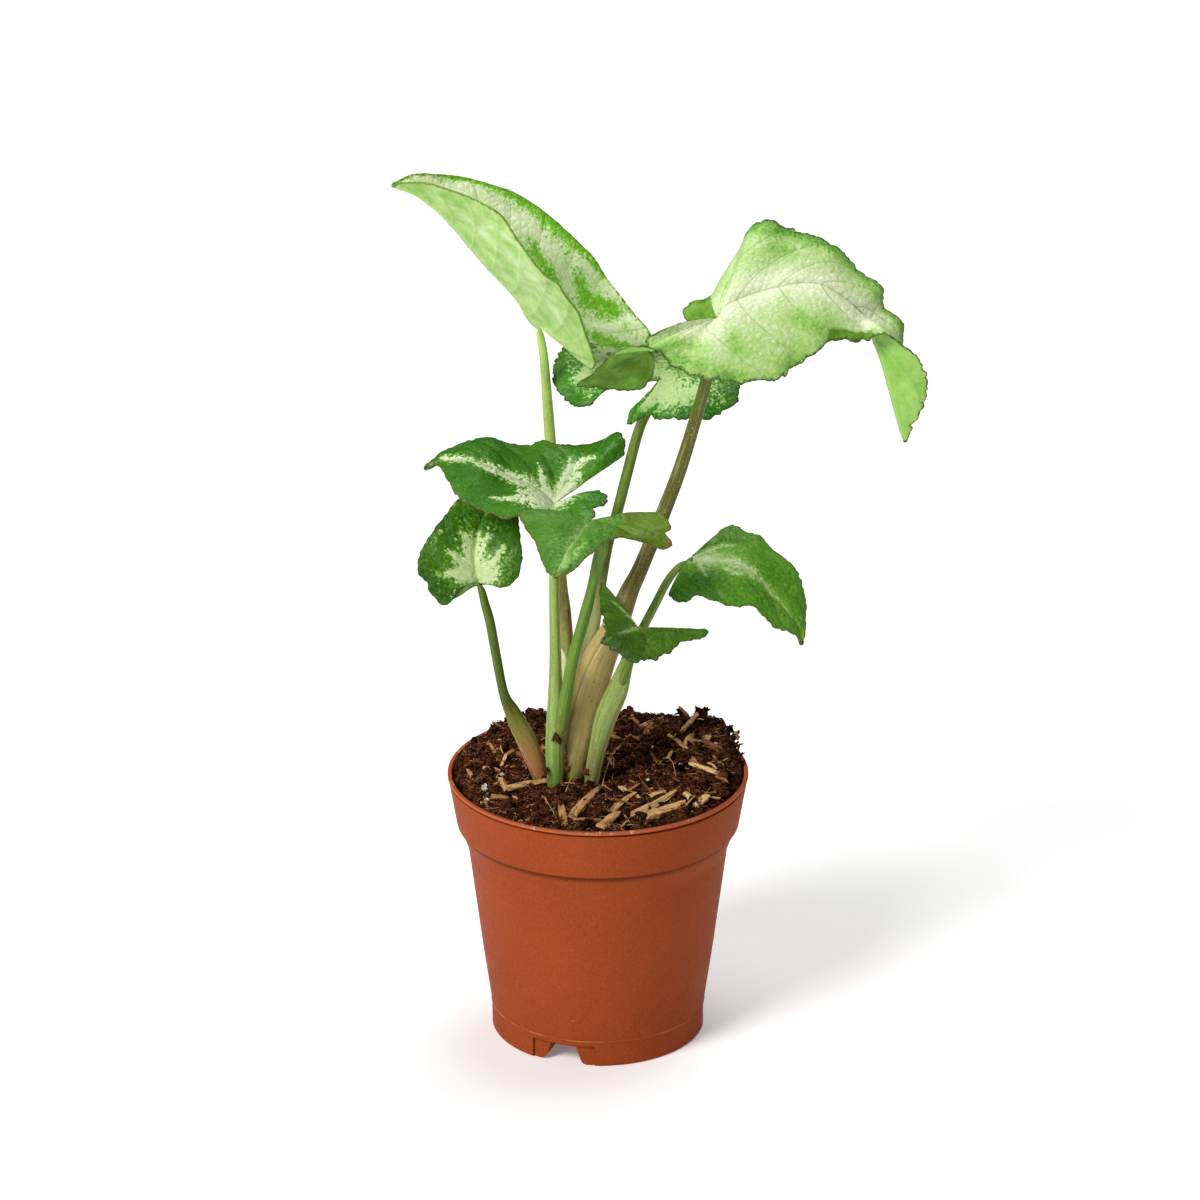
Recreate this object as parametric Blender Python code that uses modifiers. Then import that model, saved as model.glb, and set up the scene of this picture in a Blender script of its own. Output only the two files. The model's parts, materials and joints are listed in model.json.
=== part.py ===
# An arrowhead plant with eight leaves in a small nursery pot. Each blade and each group of stems is a solid.
# Metres, +Z up. X is to the viewer's right and +Y is away from the viewer.
# The pot stands on z = 0 about the Z axis.

import math
import random

import bmesh
import bpy
from mathutils import Vector
from mathutils.bvhtree import BVHTree

MM = 0.001

# Pot
POT_HEIGHT = 69.9
RIM_RADIUS = 38.0
WALL = 1.0
BAND_BOTTOM_RADIUS = 35.6
BAND_BOTTOM_HEIGHT = 55.0
BODY_TOP_RADIUS = 33.0
BODY_TOP_HEIGHT = 50.6
FOOT_RADIUS = 26.7
FOOT_WALL = 1.9
FOOT_LINE_HEIGHT = 7.0
FOOT_LINE = 0.25
FLOOR = 1.4
POT_STEPS = 60
DRAINS = 3
FIRST_DRAIN_ANGLE = -109.6
DRAIN_TOP_WIDTH = 5.8
DRAIN_FOOT_WIDTH = 12.0
DRAIN_HEIGHT = 5.0
DRAIN_INNER_RADIUS = 13.0
RECESS_WIDTH = 16.6
RECESS_HEIGHT = 6.4
RECESS_DEPTH = 0.8

# Soil
SOIL_EDGE_HEIGHT = 69.0
SOIL_MIDDLE_HEIGHT = 71.3
SOIL_TILT = 1.6
HEAPS = ((-17, 21, 3.6, 10), (25, 15, 4.8, 12), (-31, 4, 2.2, 9), (31, -2, 1.2, 8))
SOIL_GAP = 0.3
SOIL_STEPS = 46
STEM_DEPTH = 9.0
HOLE_GAP = 0.3

# Leaves
LEAF_THICKNESS = 0.66
RIB_STATIONS = 15
CROSS_STEPS = 4
SEAT_GAP = 0.35
STEM_SIDES = 12

# How the outlines were read: steps across and down a square picture of the plant, seen from above the front.
# One step is STEP_SIZE millimetres where the line of sight meets the pot's axis.
# A third number is how far that point lies behind the pot's axis, in millimetres.
PICTURE_MIDDLE = 600
STEP_SIZE = 0.2495
SIGHT_TILT = math.radians(22.5)
SIGHT_LENGTH = 1500
AIM = Vector((0.5, 0, 116.4))

# Every half starts at the lobe's inner corner, goes round the lobe and ends at the leaf's tip.
# fan is the number of edge points whose cross lines start where the stem meets the blade.
# mids bend single cross lines through a point, and puff bows the others to the upper side.
TALL_LEFT_LEAF = {
    "face": (0.6, 0.1, 0.8),
    "rib": [(540, 326, 17), (532, 319, 16.5), (518, 296, 15), (485, 261, 12), (449, 219, 9),
            (420, 195, 7), (393, 184, 6)],
    "near": {
        "edge": [(592, 370, 3), (596, 362, 0), (587, 337, -3), (579, 314, -5), (567, 297, -6),
                 (558, 284, -7), (546, 276, -7), (533, 261, -7), (516, 237, -6), (499, 213, -5),
                 (476, 200, -3), (454, 191, -1), (432, 184, 1), (410, 182, 4), (393, 184, 6)],
        "fan": 2, "puff": -0.6,
        "mids": {0: (565, 347, 9.5), 1: (566, 344, 6)},
    },
    "far": {
        "edge": [(645, 352, 25), (651, 334, 26), (634, 313, 27), (619, 293, 27), (606, 276, 27),
                 (594, 257, 26), (581, 244, 25), (562, 226, 24), (543, 210, 23), (514, 192, 21),
                 (484, 182, 18), (453, 175, 15), (414, 174, 9), (393, 184, 6)],
        "fan": 2, "puff": -0.8,
        "mids": {0: (593, 343, 21.5), 1: (594, 328, 22)},
    },
}
LARGE_RIGHT_LEAF = {
    "face": (0.1, -0.5, 0.8),
    "rib": [(717, 318, -4), (724, 306, -3), (742, 297, -1), (763, 290, 1), (783, 285, 2), (804, 282, 4),
            (824, 285, 5), (844, 297, 6), (860, 311, 7), (868, 321, 7), (874, 335, 6), (883, 359, 4),
            (889, 380, 3), (898, 414, 2), (906, 441, 2)],
    "near": {
        "edge": [(652, 336, -12), (646, 356, -12), (651, 372, -12), (648, 385, -12), (630, 392, -12),
                 (608, 390, -12), (590, 387, -13), (575, 387, -14), (589, 376, -15), (603, 361, -16),
                 (621, 349, -17), (640, 346, -17), (654, 351, -17), (671, 367, -17), (702, 380, -17),
                 (742, 385, -15), (779, 381, -12), (795, 368, -9), (814, 356, -7), (832, 342, -3),
                 (852, 343, -1), (871, 341, 0), (885, 334, -2), (905, 347, -1), (922, 359, 0),
                 (929, 386, -1), (925, 406, -1), (916, 424, 0), (906, 441, 2)],
        "fan": 14, "puff": 1.2,
        "mids": {0: (683, 320, -8), 1: (675, 333, -9), 2: (668, 337, -10), 3: (662, 340, -11),
                 4: (657, 343, -12), 5: (653, 345, -12), 6: (650, 347, -13), 7: (648, 349, -14),
                 8: (649, 350, -15), 9: (653, 350, -15), 10: (659, 350, -15), 11: (668, 349, -14),
                 12: (680, 347, -13), 13: (691, 346, -11)},
    },
    "far": {
        "edge": [(688, 322, 4), (683, 312, 6), (690, 302, 8), (706, 298, 12), (726, 291, 17),
                 (742, 272, 20), (750, 252, 20), (745, 237, 17), (757, 223, 15), (771, 220, 15),
                 (795, 228, 17), (820, 238, 18), (840, 249, 18), (861, 271, 18), (882, 287, 16),
                 (886, 306, 14), (902, 320, 12), (904, 336, 11), (904, 362, 9), (908, 394, 7),
                 (906, 422, 4), (906, 441, 2)],
        "fan": 7, "puff": 1.0,
        "mids": {0: (703, 320, 0), 1: (700, 316, 1), 2: (703, 309, 3), 3: (707, 302, 5), 4: (711, 296, 7),
                 5: (719, 282, 9), 6: (731, 264, 11), 7: (739, 255, 12)},
    },
}
BACK_LEAF = {
    "face": (0, -0.4, 0.9),
    "rib": [(661, 379, 16), (658, 366, 24), (655, 356, 32), (652, 347, 40), (648, 340, 46)],
    "near": {
        "edge": [(599, 391, 12), (591, 404, 9), (582, 408, 9), (566, 402, 12), (553, 387, 16),
                 (551, 371, 21), (561, 350, 28), (580, 338, 34), (606, 332, 40), (630, 333, 44),
                 (648, 340, 46)],
        "fan": 4, "puff": 1.2,
        "mids": {0: (629, 381, 15)},
    },
    "far": {
        "edge": [(630, 411, 8), (627, 427, 5), (643, 418, 7), (660, 421, 7), (690, 421, 6), (711, 420, 6),
                 (737, 403, 9), (743, 385, 14), (738, 368, 21), (722, 352, 29), (700, 342, 36),
                 (675, 338, 42), (648, 340, 46)],
        "fan": 6, "puff": 1.2, "mids": {},
    },
}
MIDDLE_LEFT_LEAF = {
    "face": (0, -0.4, 0.9),
    "rib": [(554, 504, -8), (546, 494, -7), (533, 485, -6), (516, 478, -5), (496, 468, -4),
            (479, 461, -3), (461, 459, -2), (441, 461, -1), (424, 469, -1)],
    "near": {
        "edge": [(600, 490, -3), (608, 496, -5), (607, 504, -8), (596, 509, -11), (593, 520, -15),
                 (570, 527, -19), (545, 525, -20), (519, 517, -20), (504, 518, -20), (489, 515, -18),
                 (473, 509, -16), (457, 497, -13), (447, 480, -8), (437, 467, -3), (424, 469, -1)],
        "fan": 6, "puff": 0.9, "mids": {},
    },
    "far": {
        "edge": [(625, 455, 7), (625, 437, 10), (616, 433, 12), (600, 441, 12), (577, 444, 10),
                 (558, 444, 9), (541, 439, 10), (526, 445, 9), (505, 442, 9), (489, 437, 9),
                 (468, 441, 7), (446, 449, 4), (427, 463, 0), (424, 469, -1)],
        "fan": 5, "puff": 0.9, "mids": {},
    },
}
FRONT_LEAF = {
    "face": (-0.1, -0.4, 0.9),
    "rib": [(593, 520, -20), (586, 526, -24), (577, 537, -31), (567, 551, -39), (560, 565, -46),
            (555, 577, -50)],
    "near": {
        "edge": [(545, 510, -20), (520, 513, -23), (524, 526, -28), (534, 542, -35), (540, 558, -42),
                 (547, 573, -48), (555, 577, -50)],
        "fan": 2, "puff": 1.0,
        "mids": {0: (568, 513, -19.5)},
    },
    "far": {
        "edge": [(658, 512, -19), (666, 517, -20), (672, 529, -22), (666, 534, -23), (673, 543, -25),
                 (665, 549, -26), (644, 543, -28), (620, 537, -31), (606, 542, -34), (588, 557, -41),
                 (573, 571, -47), (563, 576, -49), (555, 577, -50)],
        "fan": 7, "puff": 0.8,
        "mids": {0: (626, 513, -18), 1: (632, 520, -19.5), 2: (635, 526, -21.5), 3: (634, 529, -23),
                 4: (631, 532, -24), 5: (625, 534, -25)},
    },
}
LOWER_LEFT_LEAF = {
    "face": (0, -0.9, 0.4),
    "rib": [(478, 583, -8), (475, 572, -8), (474, 560, -7), (475, 545, -5), (479, 528, -2), (487, 510, 2),
            (497, 496, 6)],
    "near": {
        "edge": [(450, 603, -12), (441, 605, -12), (429, 592, -12), (427, 583, -11), (418, 574, -11),
                 (418, 556, -9), (430, 534, -6), (443, 517, -3), (457, 500, 1), (477, 492, 5),
                 (497, 496, 6)],
        "fan": 4, "puff": 0.9,
        "mids": {0: (464, 587, -10.5)},
    },
    "far": {
        "edge": [(501, 588, -10), (511, 585, -10), (520, 574, -9), (523, 556, -8), (521, 538, -5),
                 (519, 518, -1), (510, 504, 4), (497, 496, 6)],
        "fan": 3, "puff": 0.9, "mids": {},
    },
}
RIGHT_LEAF = {
    "face": (0.2, -0.5, 0.8),
    "rib": [(689, 560, 0), (703, 561, 0), (721, 562, -1), (738, 564, -2), (752, 571, -2), (768, 588, -3),
            (784, 606, -4), (796, 624, -5), (803, 645, -6)],
    "near": {
        "edge": [(668, 595, -6), (674, 601, -8), (684, 604, -9), (698, 597, -9), (713, 602, -11),
                 (733, 608, -12), (752, 607, -11), (765, 618, -11), (775, 629, -10), (791, 634, -8),
                 (803, 645, -6)],
        "fan": 3, "puff": 0.9, "mids": {},
    },
    "far": {
        "edge": [(719, 531, 12), (727, 527, 13), (736, 525, 14), (748, 532, 13), (762, 536, 13),
                 (774, 551, 11), (786, 559, 9), (797, 570, 7), (803, 587, 4), (807, 612, 0),
                 (806, 631, -4), (803, 645, -6)],
        "fan": 2, "puff": 0.4,
        "mids": {0: (708, 549, 6.5)},
    },
}
SMALL_LEAF = {
    "face": (-0.2, -0.3, 0.9),
    "rib": [(638, 628, -18), (630, 629, -21), (621, 632, -26), (611, 637, -32), (602, 642, -37)],
    "near": {
        "edge": [(601, 581, -2), (598, 598, -8), (601, 613, -16), (603, 625, -24), (603, 635, -31),
                 (602, 642, -37)],
        "fan": 1, "puff": 0.5,
        "mids": {0: (620, 603, -9)},
    },
    "far": {
        "edge": [(711, 634, -15), (700, 639, -17), (682, 644, -19), (673, 652, -21), (660, 660, -23),
                 (646, 662, -25), (632, 663, -28), (620, 656, -31), (608, 648, -35), (602, 642, -37)],
        "fan": 4, "puff": 0.6, "mids": {},
    },
}
LEAVES = {
    "tall_left_leaf": TALL_LEFT_LEAF,
    "large_right_leaf": LARGE_RIGHT_LEAF,
    "back_leaf": BACK_LEAF,
    "middle_left_leaf": MIDDLE_LEFT_LEAF,
    "front_leaf": FRONT_LEAF,
    "lower_left_leaf": LOWER_LEFT_LEAF,
    "right_leaf": RIGHT_LEAF,
    "small_leaf": SMALL_LEAF,
}

# Stems run from the blade to the soil. Each point is across, down, how far behind, and then the width and the
# depth of the section in millimetres.
TALL_LEFT_STEM = [(540, 326, 17, 1.7, 1.7), (542, 345, 16.5, 2.1, 2.0), (545, 370, 15.5, 2.3, 2.2),
                  (550, 437, 13.5, 2.8, 2.6), (556, 520, 9, 2.8, 2.7), (561, 578, 6, 2.9, 2.8),
                  (566, 640, 4, 3.3, 3.0), (567, 690, 2.5, 3.8, 3.2), (565, 740, 1.5, 3.8, 3.4),
                  (563, 768, 1, 3.6, 3.4)]
LARGE_RIGHT_STEM = [(717, 318, -4, 1.8, 1.8), (713, 345, -5.5, 2.5, 2.4), (708, 375, -6, 2.9, 2.7),
                    (683, 460, -5, 3.4, 3.1), (664, 511, -4, 3.7, 3.3), (641, 567, -4, 4.0, 3.5),
                    (629, 592, -4, 4.8, 3.8), (614, 628, -4, 6.2, 4.2), (598, 660, -4.5, 8.2, 4.2),
                    (587, 696, -5.5, 8.6, 4.2), (578, 736, -6.2, 7.0, 4.4), (574, 775, -7, 4.8, 4.2)]
BACK_STEM = [(661, 379, 16, 1.6, 1.6), (656, 397, 14, 2.1, 2.0), (640, 427, 11, 2.6, 2.4),
             (627, 474, 7, 2.7, 2.5), (618, 509, 4, 2.7, 2.5), (608, 545, 2, 2.6, 2.5),
             (600, 590, 0, 2.7, 2.5), (592, 630, -2, 3.0, 2.6), (584, 670, -4, 3.2, 2.8),
             (577, 710, -6, 3.2, 2.8)]
MIDDLE_LEFT_STEM = [(554, 504, -8, 1.6, 1.6), (554, 518, -9, 1.9, 1.9), (554, 545, -10, 2.2, 2.1),
                    (554, 600, -10, 2.4, 2.3), (555, 660, -10, 2.8, 2.6), (555, 710, -10, 4.0, 3.2),
                    (554, 750, -10, 4.4, 3.6), (555, 778, -10, 4.0, 3.6)]
FRONT_STEM = [(593, 520, -20, 1.7, 1.6), (599, 530, -21, 2.5, 2.3), (602, 545, -21, 3.2, 2.9),
              (598, 562, -20, 3.0, 2.8), (592, 587, -18.5, 2.5, 2.5), (585, 615, -17, 2.9, 2.8),
              (574, 655, -15, 2.8, 2.8), (566, 695, -13, 3.1, 2.9), (560, 730, -11, 3.2, 3.0)]
LOWER_LEFT_STEM = [(478, 583, -8, 1.5, 1.5), (482, 592, -9, 1.9, 1.9), (485, 604, -9.5, 2.2, 2.1),
                   (490, 622, -10, 2.4, 2.2), (497, 660, -10, 2.4, 2.3), (504, 694, -10, 2.5, 2.4),
                   (513, 713, -8.8, 4.0, 2.8), (527, 742, -7, 5.0, 3.2), (536, 764, -6, 4.6, 3.3),
                   (541, 781, -5.4, 3.7, 3.3)]
RIGHT_STEM = [(689, 560, 0, 1.5, 1.5), (678, 568, -1.5, 1.9, 1.9), (667, 582, -3, 2.1, 2.0),
              (656, 603, -5, 2.2, 2.1), (642, 630, -8, 2.4, 2.3), (628, 660, -9, 3.4, 3.0),
              (618, 688, -10, 5.0, 3.4), (606, 716, -10.5, 5.2, 3.6), (598, 745, -10.5, 4.2, 3.6),
              (592, 777, -9.8, 3.6, 3.4)]
SMALL_STEM = [(638, 628, -18, 1.3, 1.3), (637, 638, -17.5, 1.7, 1.6), (634, 650, -15.5, 2.0, 1.9),
              (628, 666, -12.5, 2.2, 2.1), (620, 688, -10, 2.4, 2.4)]
STEMS = {
    "tall_left_stem": [TALL_LEFT_STEM],
    "middle_stems": [LARGE_RIGHT_STEM, BACK_STEM],
    "front_stems": [MIDDLE_LEFT_STEM, FRONT_STEM],
    "lower_left_stem": [LOWER_LEFT_STEM],
    "right_stems": [RIGHT_STEM, SMALL_STEM],
}
SEATED = {
    "tall_left_stem": ["tall_left_leaf"],
    "middle_stems": ["large_right_leaf", "back_leaf"],
    "front_stems": ["middle_left_leaf", "front_leaf"],
    "lower_left_stem": ["lower_left_leaf"],
    "right_stems": ["right_leaf", "small_leaf"],
}

# Larger chips of wood and bark on the soil: both ends as read off the picture, then width and thickness.
CHIPS = [
    (680, 735, 697, 716, 1.8, 1.0), (710, 741, 715, 727, 2.4, 1.2), (669, 737, 685, 752, 1.6, 0.9),
    (686, 753, 692, 765, 1.8, 1.0), (692, 766, 725, 779, 1.5, 0.9), (645, 818, 684, 808, 3.0, 1.6),
    (632, 814, 672, 796, 2.2, 1.2), (683, 795, 699, 807, 2.0, 1.2), (600, 828, 620, 815, 2.4, 1.2),
    (609, 815, 633, 798, 1.8, 1.0), (619, 790, 641, 798, 1.8, 1.0), (509, 790, 547, 785, 3.0, 1.6),
    (484, 772, 499, 771, 1.8, 1.0), (500, 768, 516, 750, 1.8, 1.0), (574, 816, 600, 790, 2.8, 1.3),
    (561, 808, 563, 825, 2.0, 1.2), (731, 737, 732, 749, 1.8, 1.0), (492, 799, 507, 799, 2.0, 1.1),
]
MORE_CHIPS = 16
CHIP_SEED = 4


def clear_scene():
    for obj in list(bpy.data.objects):
        bpy.data.objects.remove(obj, do_unlink=True)


def new_collection(name):
    collection = bpy.data.collections.new(name)
    bpy.context.scene.collection.children.link(collection)
    return collection


def seen(across, down, behind):
    """The point this far behind the pot's axis on the line of sight through a point of the picture."""
    right = Vector((1, 0, 0))
    up = Vector((0, math.sin(SIGHT_TILT), math.cos(SIGHT_TILT)))
    forward = Vector((0, math.cos(SIGHT_TILT), -math.sin(SIGHT_TILT)))
    eye = AIM - forward * SIGHT_LENGTH
    ray = forward * SIGHT_LENGTH
    ray += right * (across - PICTURE_MIDDLE) * STEP_SIZE
    ray += up * (PICTURE_MIDDLE - down) * STEP_SIZE
    return eye + ray * ((behind - eye.y) / ray.y)


def on_curve(points, place):
    """A smooth curve through the points, read at a place counted in points."""
    last = len(points) - 1
    start = min(int(place), last - 1)
    share = place - start
    before = points[max(start - 1, 0)]
    here = points[start]
    there = points[start + 1]
    after = points[min(start + 2, last)]
    bend_in = (there - before) * 0.5
    bend_out = (after - here) * 0.5
    square = share * share
    cube = square * share
    return (
        here * (2 * cube - 3 * square + 1)
        + bend_in * (cube - 2 * square + share)
        + there * (3 * square - 2 * cube)
        + bend_out * (cube - square)
    )


def lengths_along(points):
    total = [0.0]
    for first, second in zip(points, points[1:]):
        total.append(total[-1] + (second - first).length)
    return total


def place_at(lengths, start, share):
    """Where a curve has run this share of its length, counted from its point number start."""
    wanted = lengths[start] + share * (lengths[-1] - lengths[start])
    for index in range(start, len(lengths) - 1):
        step = lengths[index + 1] - lengths[index]
        if wanted <= lengths[index + 1] and step > 0:
            return index + (wanted - lengths[index]) / step
    return len(lengths) - 1.0


def half_rows(leaf, side, stations):
    """The cross lines of one half of a blade, each as its rib point, its bend and its edge point."""
    half = leaf[side]
    rib = [seen(*point) for point in leaf["rib"]]
    edge = [seen(*point) for point in half["edge"]]
    rib_lengths = lengths_along(rib)
    edge_lengths = lengths_along(edge)
    fan = half["fan"]
    face = Vector(leaf["face"]).normalized()

    def rib_share(place):
        if place <= fan:
            return 0.0
        low = int(place)
        length = edge_lengths[low]
        if low + 1 < len(edge):
            length += (place - low) * (edge_lengths[low + 1] - edge_lengths[low])
        return (length - edge_lengths[fan]) / (edge_lengths[-1] - edge_lengths[fan])

    def rib_at(share):
        return on_curve(rib, place_at(rib_lengths, 0, share))

    bends = []
    for index, point in enumerate(edge):
        start = rib_at(rib_share(index))
        middle = (start + point) / 2
        along = edge[min(index + 1, len(edge) - 1)] - edge[max(index - 1, 0)]
        normal = along.cross(point - start)
        if normal.length > 0:
            normal.normalize()
        if normal.dot(face) < 0:
            normal.negate()
        width = (point - start).length
        middle += normal * half["puff"] * min(1, width / 12)
        if index in half["mids"]:
            middle = seen(*half["mids"][index])
        bends.append(middle)

    places = [float(index) for index in range(fan)]
    places += [place_at(edge_lengths, fan, share) for share in stations]
    rows = []
    for place in places:
        rows.append((rib_at(rib_share(place)), on_curve(bends, place), on_curve(edge, place)))
    return rows


def across_row(row, share):
    """A point of a cross line that runs from the rib through its bend to the edge."""
    start, bend, end = row
    return (
        start * (1 - share) * (1 - 2 * share)
        + bend * 4 * share * (1 - share)
        + end * share * (2 * share - 1)
    )


def mesh_object(name, bm, collection):
    mesh = bpy.data.meshes.new(name)
    bm.to_mesh(mesh)
    bm.free()
    obj = bpy.data.objects.new(name, mesh)
    collection.objects.link(obj)
    return obj


def settle(obj):
    """Applies the modifiers."""
    graph = bpy.context.evaluated_depsgraph_get()
    mesh = bpy.data.meshes.new_from_object(obj.evaluated_get(graph))
    obj.modifiers.clear()
    obj.data = mesh
    return obj


def blade_surface(leaf):
    """Both halves as one open surface of triangles."""
    stations = [index / RIB_STATIONS for index in range(RIB_STATIONS + 1)]
    bm = bmesh.new()
    for side, turned in (("near", False), ("far", True)):
        rows = half_rows(leaf, side, stations)
        grid = []
        for row in rows:
            line = [across_row(row, step / CROSS_STEPS) for step in range(CROSS_STEPS + 1)]
            grid.append([bm.verts.new(point * MM) for point in line])
        for first, second in zip(grid, grid[1:]):
            for step in range(CROSS_STEPS):
                corners = [first[step], first[step + 1], second[step + 1], second[step]]
                if turned:
                    corners.reverse()
                bm.faces.new(corners)
    bmesh.ops.triangulate(bm, faces=bm.faces[:])
    bmesh.ops.remove_doubles(bm, verts=bm.verts[:], dist=0.02 * MM)
    bmesh.ops.dissolve_degenerate(bm, edges=bm.edges[:], dist=0.01 * MM)
    return bm


def make_blade(name, leaf, collection):
    obj = mesh_object(name, blade_surface(leaf), collection)
    solid = obj.modifiers.new("Thickness", "SOLIDIFY")
    solid.thickness = LEAF_THICKNESS * MM
    solid.offset = 0
    settle(obj)
    face_outwards(obj)
    return obj


def face_outwards(obj):
    bm = bmesh.new()
    bm.from_mesh(obj.data)
    bmesh.ops.recalc_face_normals(bm, faces=bm.faces[:])
    bm.to_mesh(obj.data)
    bm.free()


def stem_ring(centres, sizes, place, grow):
    """The corners of one oval section of a stem."""
    centre = on_curve(centres, place)
    width, depth, _ = on_curve(sizes, place)
    ahead = on_curve(centres, min(place + 0.1, len(centres) - 1))
    back = on_curve(centres, max(place - 0.1, 0))
    along = (back - ahead).normalized()
    side = Vector((0, 1, 0)).cross(along).normalized()
    outward = along.cross(side)
    ring = []
    for step in range(STEM_SIDES):
        angle = 2 * math.pi * step / STEM_SIDES
        offset = side * math.cos(angle) * (width / 2 + grow)
        offset += outward * math.sin(angle) * (depth / 2 + grow)
        ring.append((centre + offset) * MM)
    return ring


def seat_place(centres, sizes, leaf):
    """How far along the stem its end clears the underside of its blade."""
    bm = blade_surface(leaf)
    tree = BVHTree.FromBMesh(bm)
    bm.free()
    clear = (LEAF_THICKNESS / 2 + SEAT_GAP) * MM
    place = 0.1
    while place < 1.9:
        ring = stem_ring(centres, sizes, place, 0)
        if min(tree.find_nearest(point)[3] for point in ring) >= clear:
            return place
        place += 0.03
    return place


def make_stem(name, points, collection, leaf=None, grow=0.0, sink=0.0):
    """A loft of oval sections along the stem, wider where its sheath is, with its foot sunk into the soil."""
    centres = [seen(*point[:3]) for point in points]
    sizes = [Vector((point[3], point[4], 0)) for point in points]
    if sink:
        centres.append(centres[-1] + Vector((0, 0, -sink)))
        sizes.append(sizes[-1] * 0.8)
    first = seat_place(centres, sizes, leaf) if leaf else 0
    places = [first]
    for index in range(len(centres) - 1):
        places += [place for place in (index, index + 0.5) if place > first + 0.2]
    places.append(len(centres) - 1)
    bm = bmesh.new()
    rings = []
    for place in places:
        rings.append([bm.verts.new(point) for point in stem_ring(centres, sizes, place, grow)])
    for first_ring, second_ring in zip(rings, rings[1:]):
        for step in range(STEM_SIDES):
            after = (step + 1) % STEM_SIDES
            bm.faces.new((first_ring[step], first_ring[after], second_ring[after], second_ring[step]))
    bm.faces.new(list(reversed(rings[0])))
    bm.faces.new(rings[-1])
    bmesh.ops.triangulate(bm, faces=bm.faces[:])
    obj = mesh_object(name, bm, collection)
    face_outwards(obj)
    return obj


def boolean(obj, others, operation):
    """One Boolean with a list of objects, applied."""
    group = new_collection("cutters")
    group.hide_render = True
    for other in others:
        for owner in list(other.users_collection):
            owner.objects.unlink(other)
        group.objects.link(other)
        other.hide_render = True
        other.display_type = "WIRE"
    change = obj.modifiers.new(operation.title(), "BOOLEAN")
    change.operation = operation
    change.operand_type = "COLLECTION"
    change.collection = group
    change.solver = "EXACT"
    bpy.context.view_layer.update()
    settle(obj)
    for other in list(group.objects):
        bpy.data.objects.remove(other, do_unlink=True)
    bpy.data.collections.remove(group)
    return obj


def turned(name, profile, steps, collection):
    """A profile of radius and height turned about the Z axis."""
    mesh = bpy.data.meshes.new(name)
    points = [(radius * MM, 0, height * MM) for radius, height in profile]
    mesh.from_pydata(points, [(i, i + 1) for i in range(len(points) - 1)], [])
    obj = bpy.data.objects.new(name, mesh)
    collection.objects.link(obj)
    screw = obj.modifiers.new("Turn", "SCREW")
    screw.steps = steps
    screw.render_steps = steps
    screw.use_merge_vertices = True
    screw.merge_threshold = 0.00001
    settle(obj)
    face_outwards(obj)
    return obj


def outer_radius(height):
    """The tapered body of the pot under its rim band."""
    share = height / BODY_TOP_HEIGHT
    return FOOT_RADIUS + (BODY_TOP_RADIUS - FOOT_RADIUS) * share


def inner_radius(height):
    if height >= BAND_BOTTOM_HEIGHT:
        share = (height - BAND_BOTTOM_HEIGHT) / (POT_HEIGHT - BAND_BOTTOM_HEIGHT)
        return BAND_BOTTOM_RADIUS - WALL + (RIM_RADIUS - BAND_BOTTOM_RADIUS) * share
    if height >= BODY_TOP_HEIGHT:
        share = (height - BODY_TOP_HEIGHT) / (BAND_BOTTOM_HEIGHT - BODY_TOP_HEIGHT)
        return BODY_TOP_RADIUS - WALL + (BAND_BOTTOM_RADIUS - BODY_TOP_RADIUS) * share
    if height >= FOOT_LINE_HEIGHT + 2:
        return outer_radius(height) - WALL
    return outer_radius(height) - FOOT_WALL


def block(name, corners, collection):
    """A closed body between a lower and an upper ring of corners."""
    lower, upper = corners
    bm = bmesh.new()
    below = [bm.verts.new(Vector(point) * MM) for point in lower]
    above = [bm.verts.new(Vector(point) * MM) for point in upper]
    count = len(lower)
    for index in range(count):
        after = (index + 1) % count
        bm.faces.new((below[index], below[after], above[after], above[index]))
    bm.faces.new(list(reversed(below)))
    bm.faces.new(above)
    obj = mesh_object(name, bm, collection)
    face_outwards(obj)
    return obj


def drain_block(angle, start, end, grow, bottom, collection):
    """A radial block with the drain's trapezoid section, as long as from radius start to radius end."""
    top = DRAIN_HEIGHT + grow
    slope = (DRAIN_TOP_WIDTH - DRAIN_FOOT_WIDTH) / 2 / DRAIN_HEIGHT
    half_foot = DRAIN_FOOT_WIDTH / 2 + 1.2 * grow + slope * bottom
    half_top = DRAIN_FOOT_WIDTH / 2 + 1.2 * grow + slope * top
    corners = ((start, -1), (end, -1), (end, 1), (start, 1))
    lower = [(x, side * half_foot, bottom) for x, side in corners]
    upper = [(x, side * half_top, top) for x, side in corners]
    obj = block("drain", (lower, upper), collection)
    turn(obj, angle)
    return obj


def turn(obj, angle):
    obj.rotation_euler = (0, 0, math.radians(angle))
    bpy.context.view_layer.update()
    obj.data.transform(obj.matrix_world)
    obj.matrix_world.identity()
    bpy.context.view_layer.update()


def drain_angles():
    return [FIRST_DRAIN_ANGLE + 360 / DRAINS * index for index in range(DRAINS)]


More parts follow.
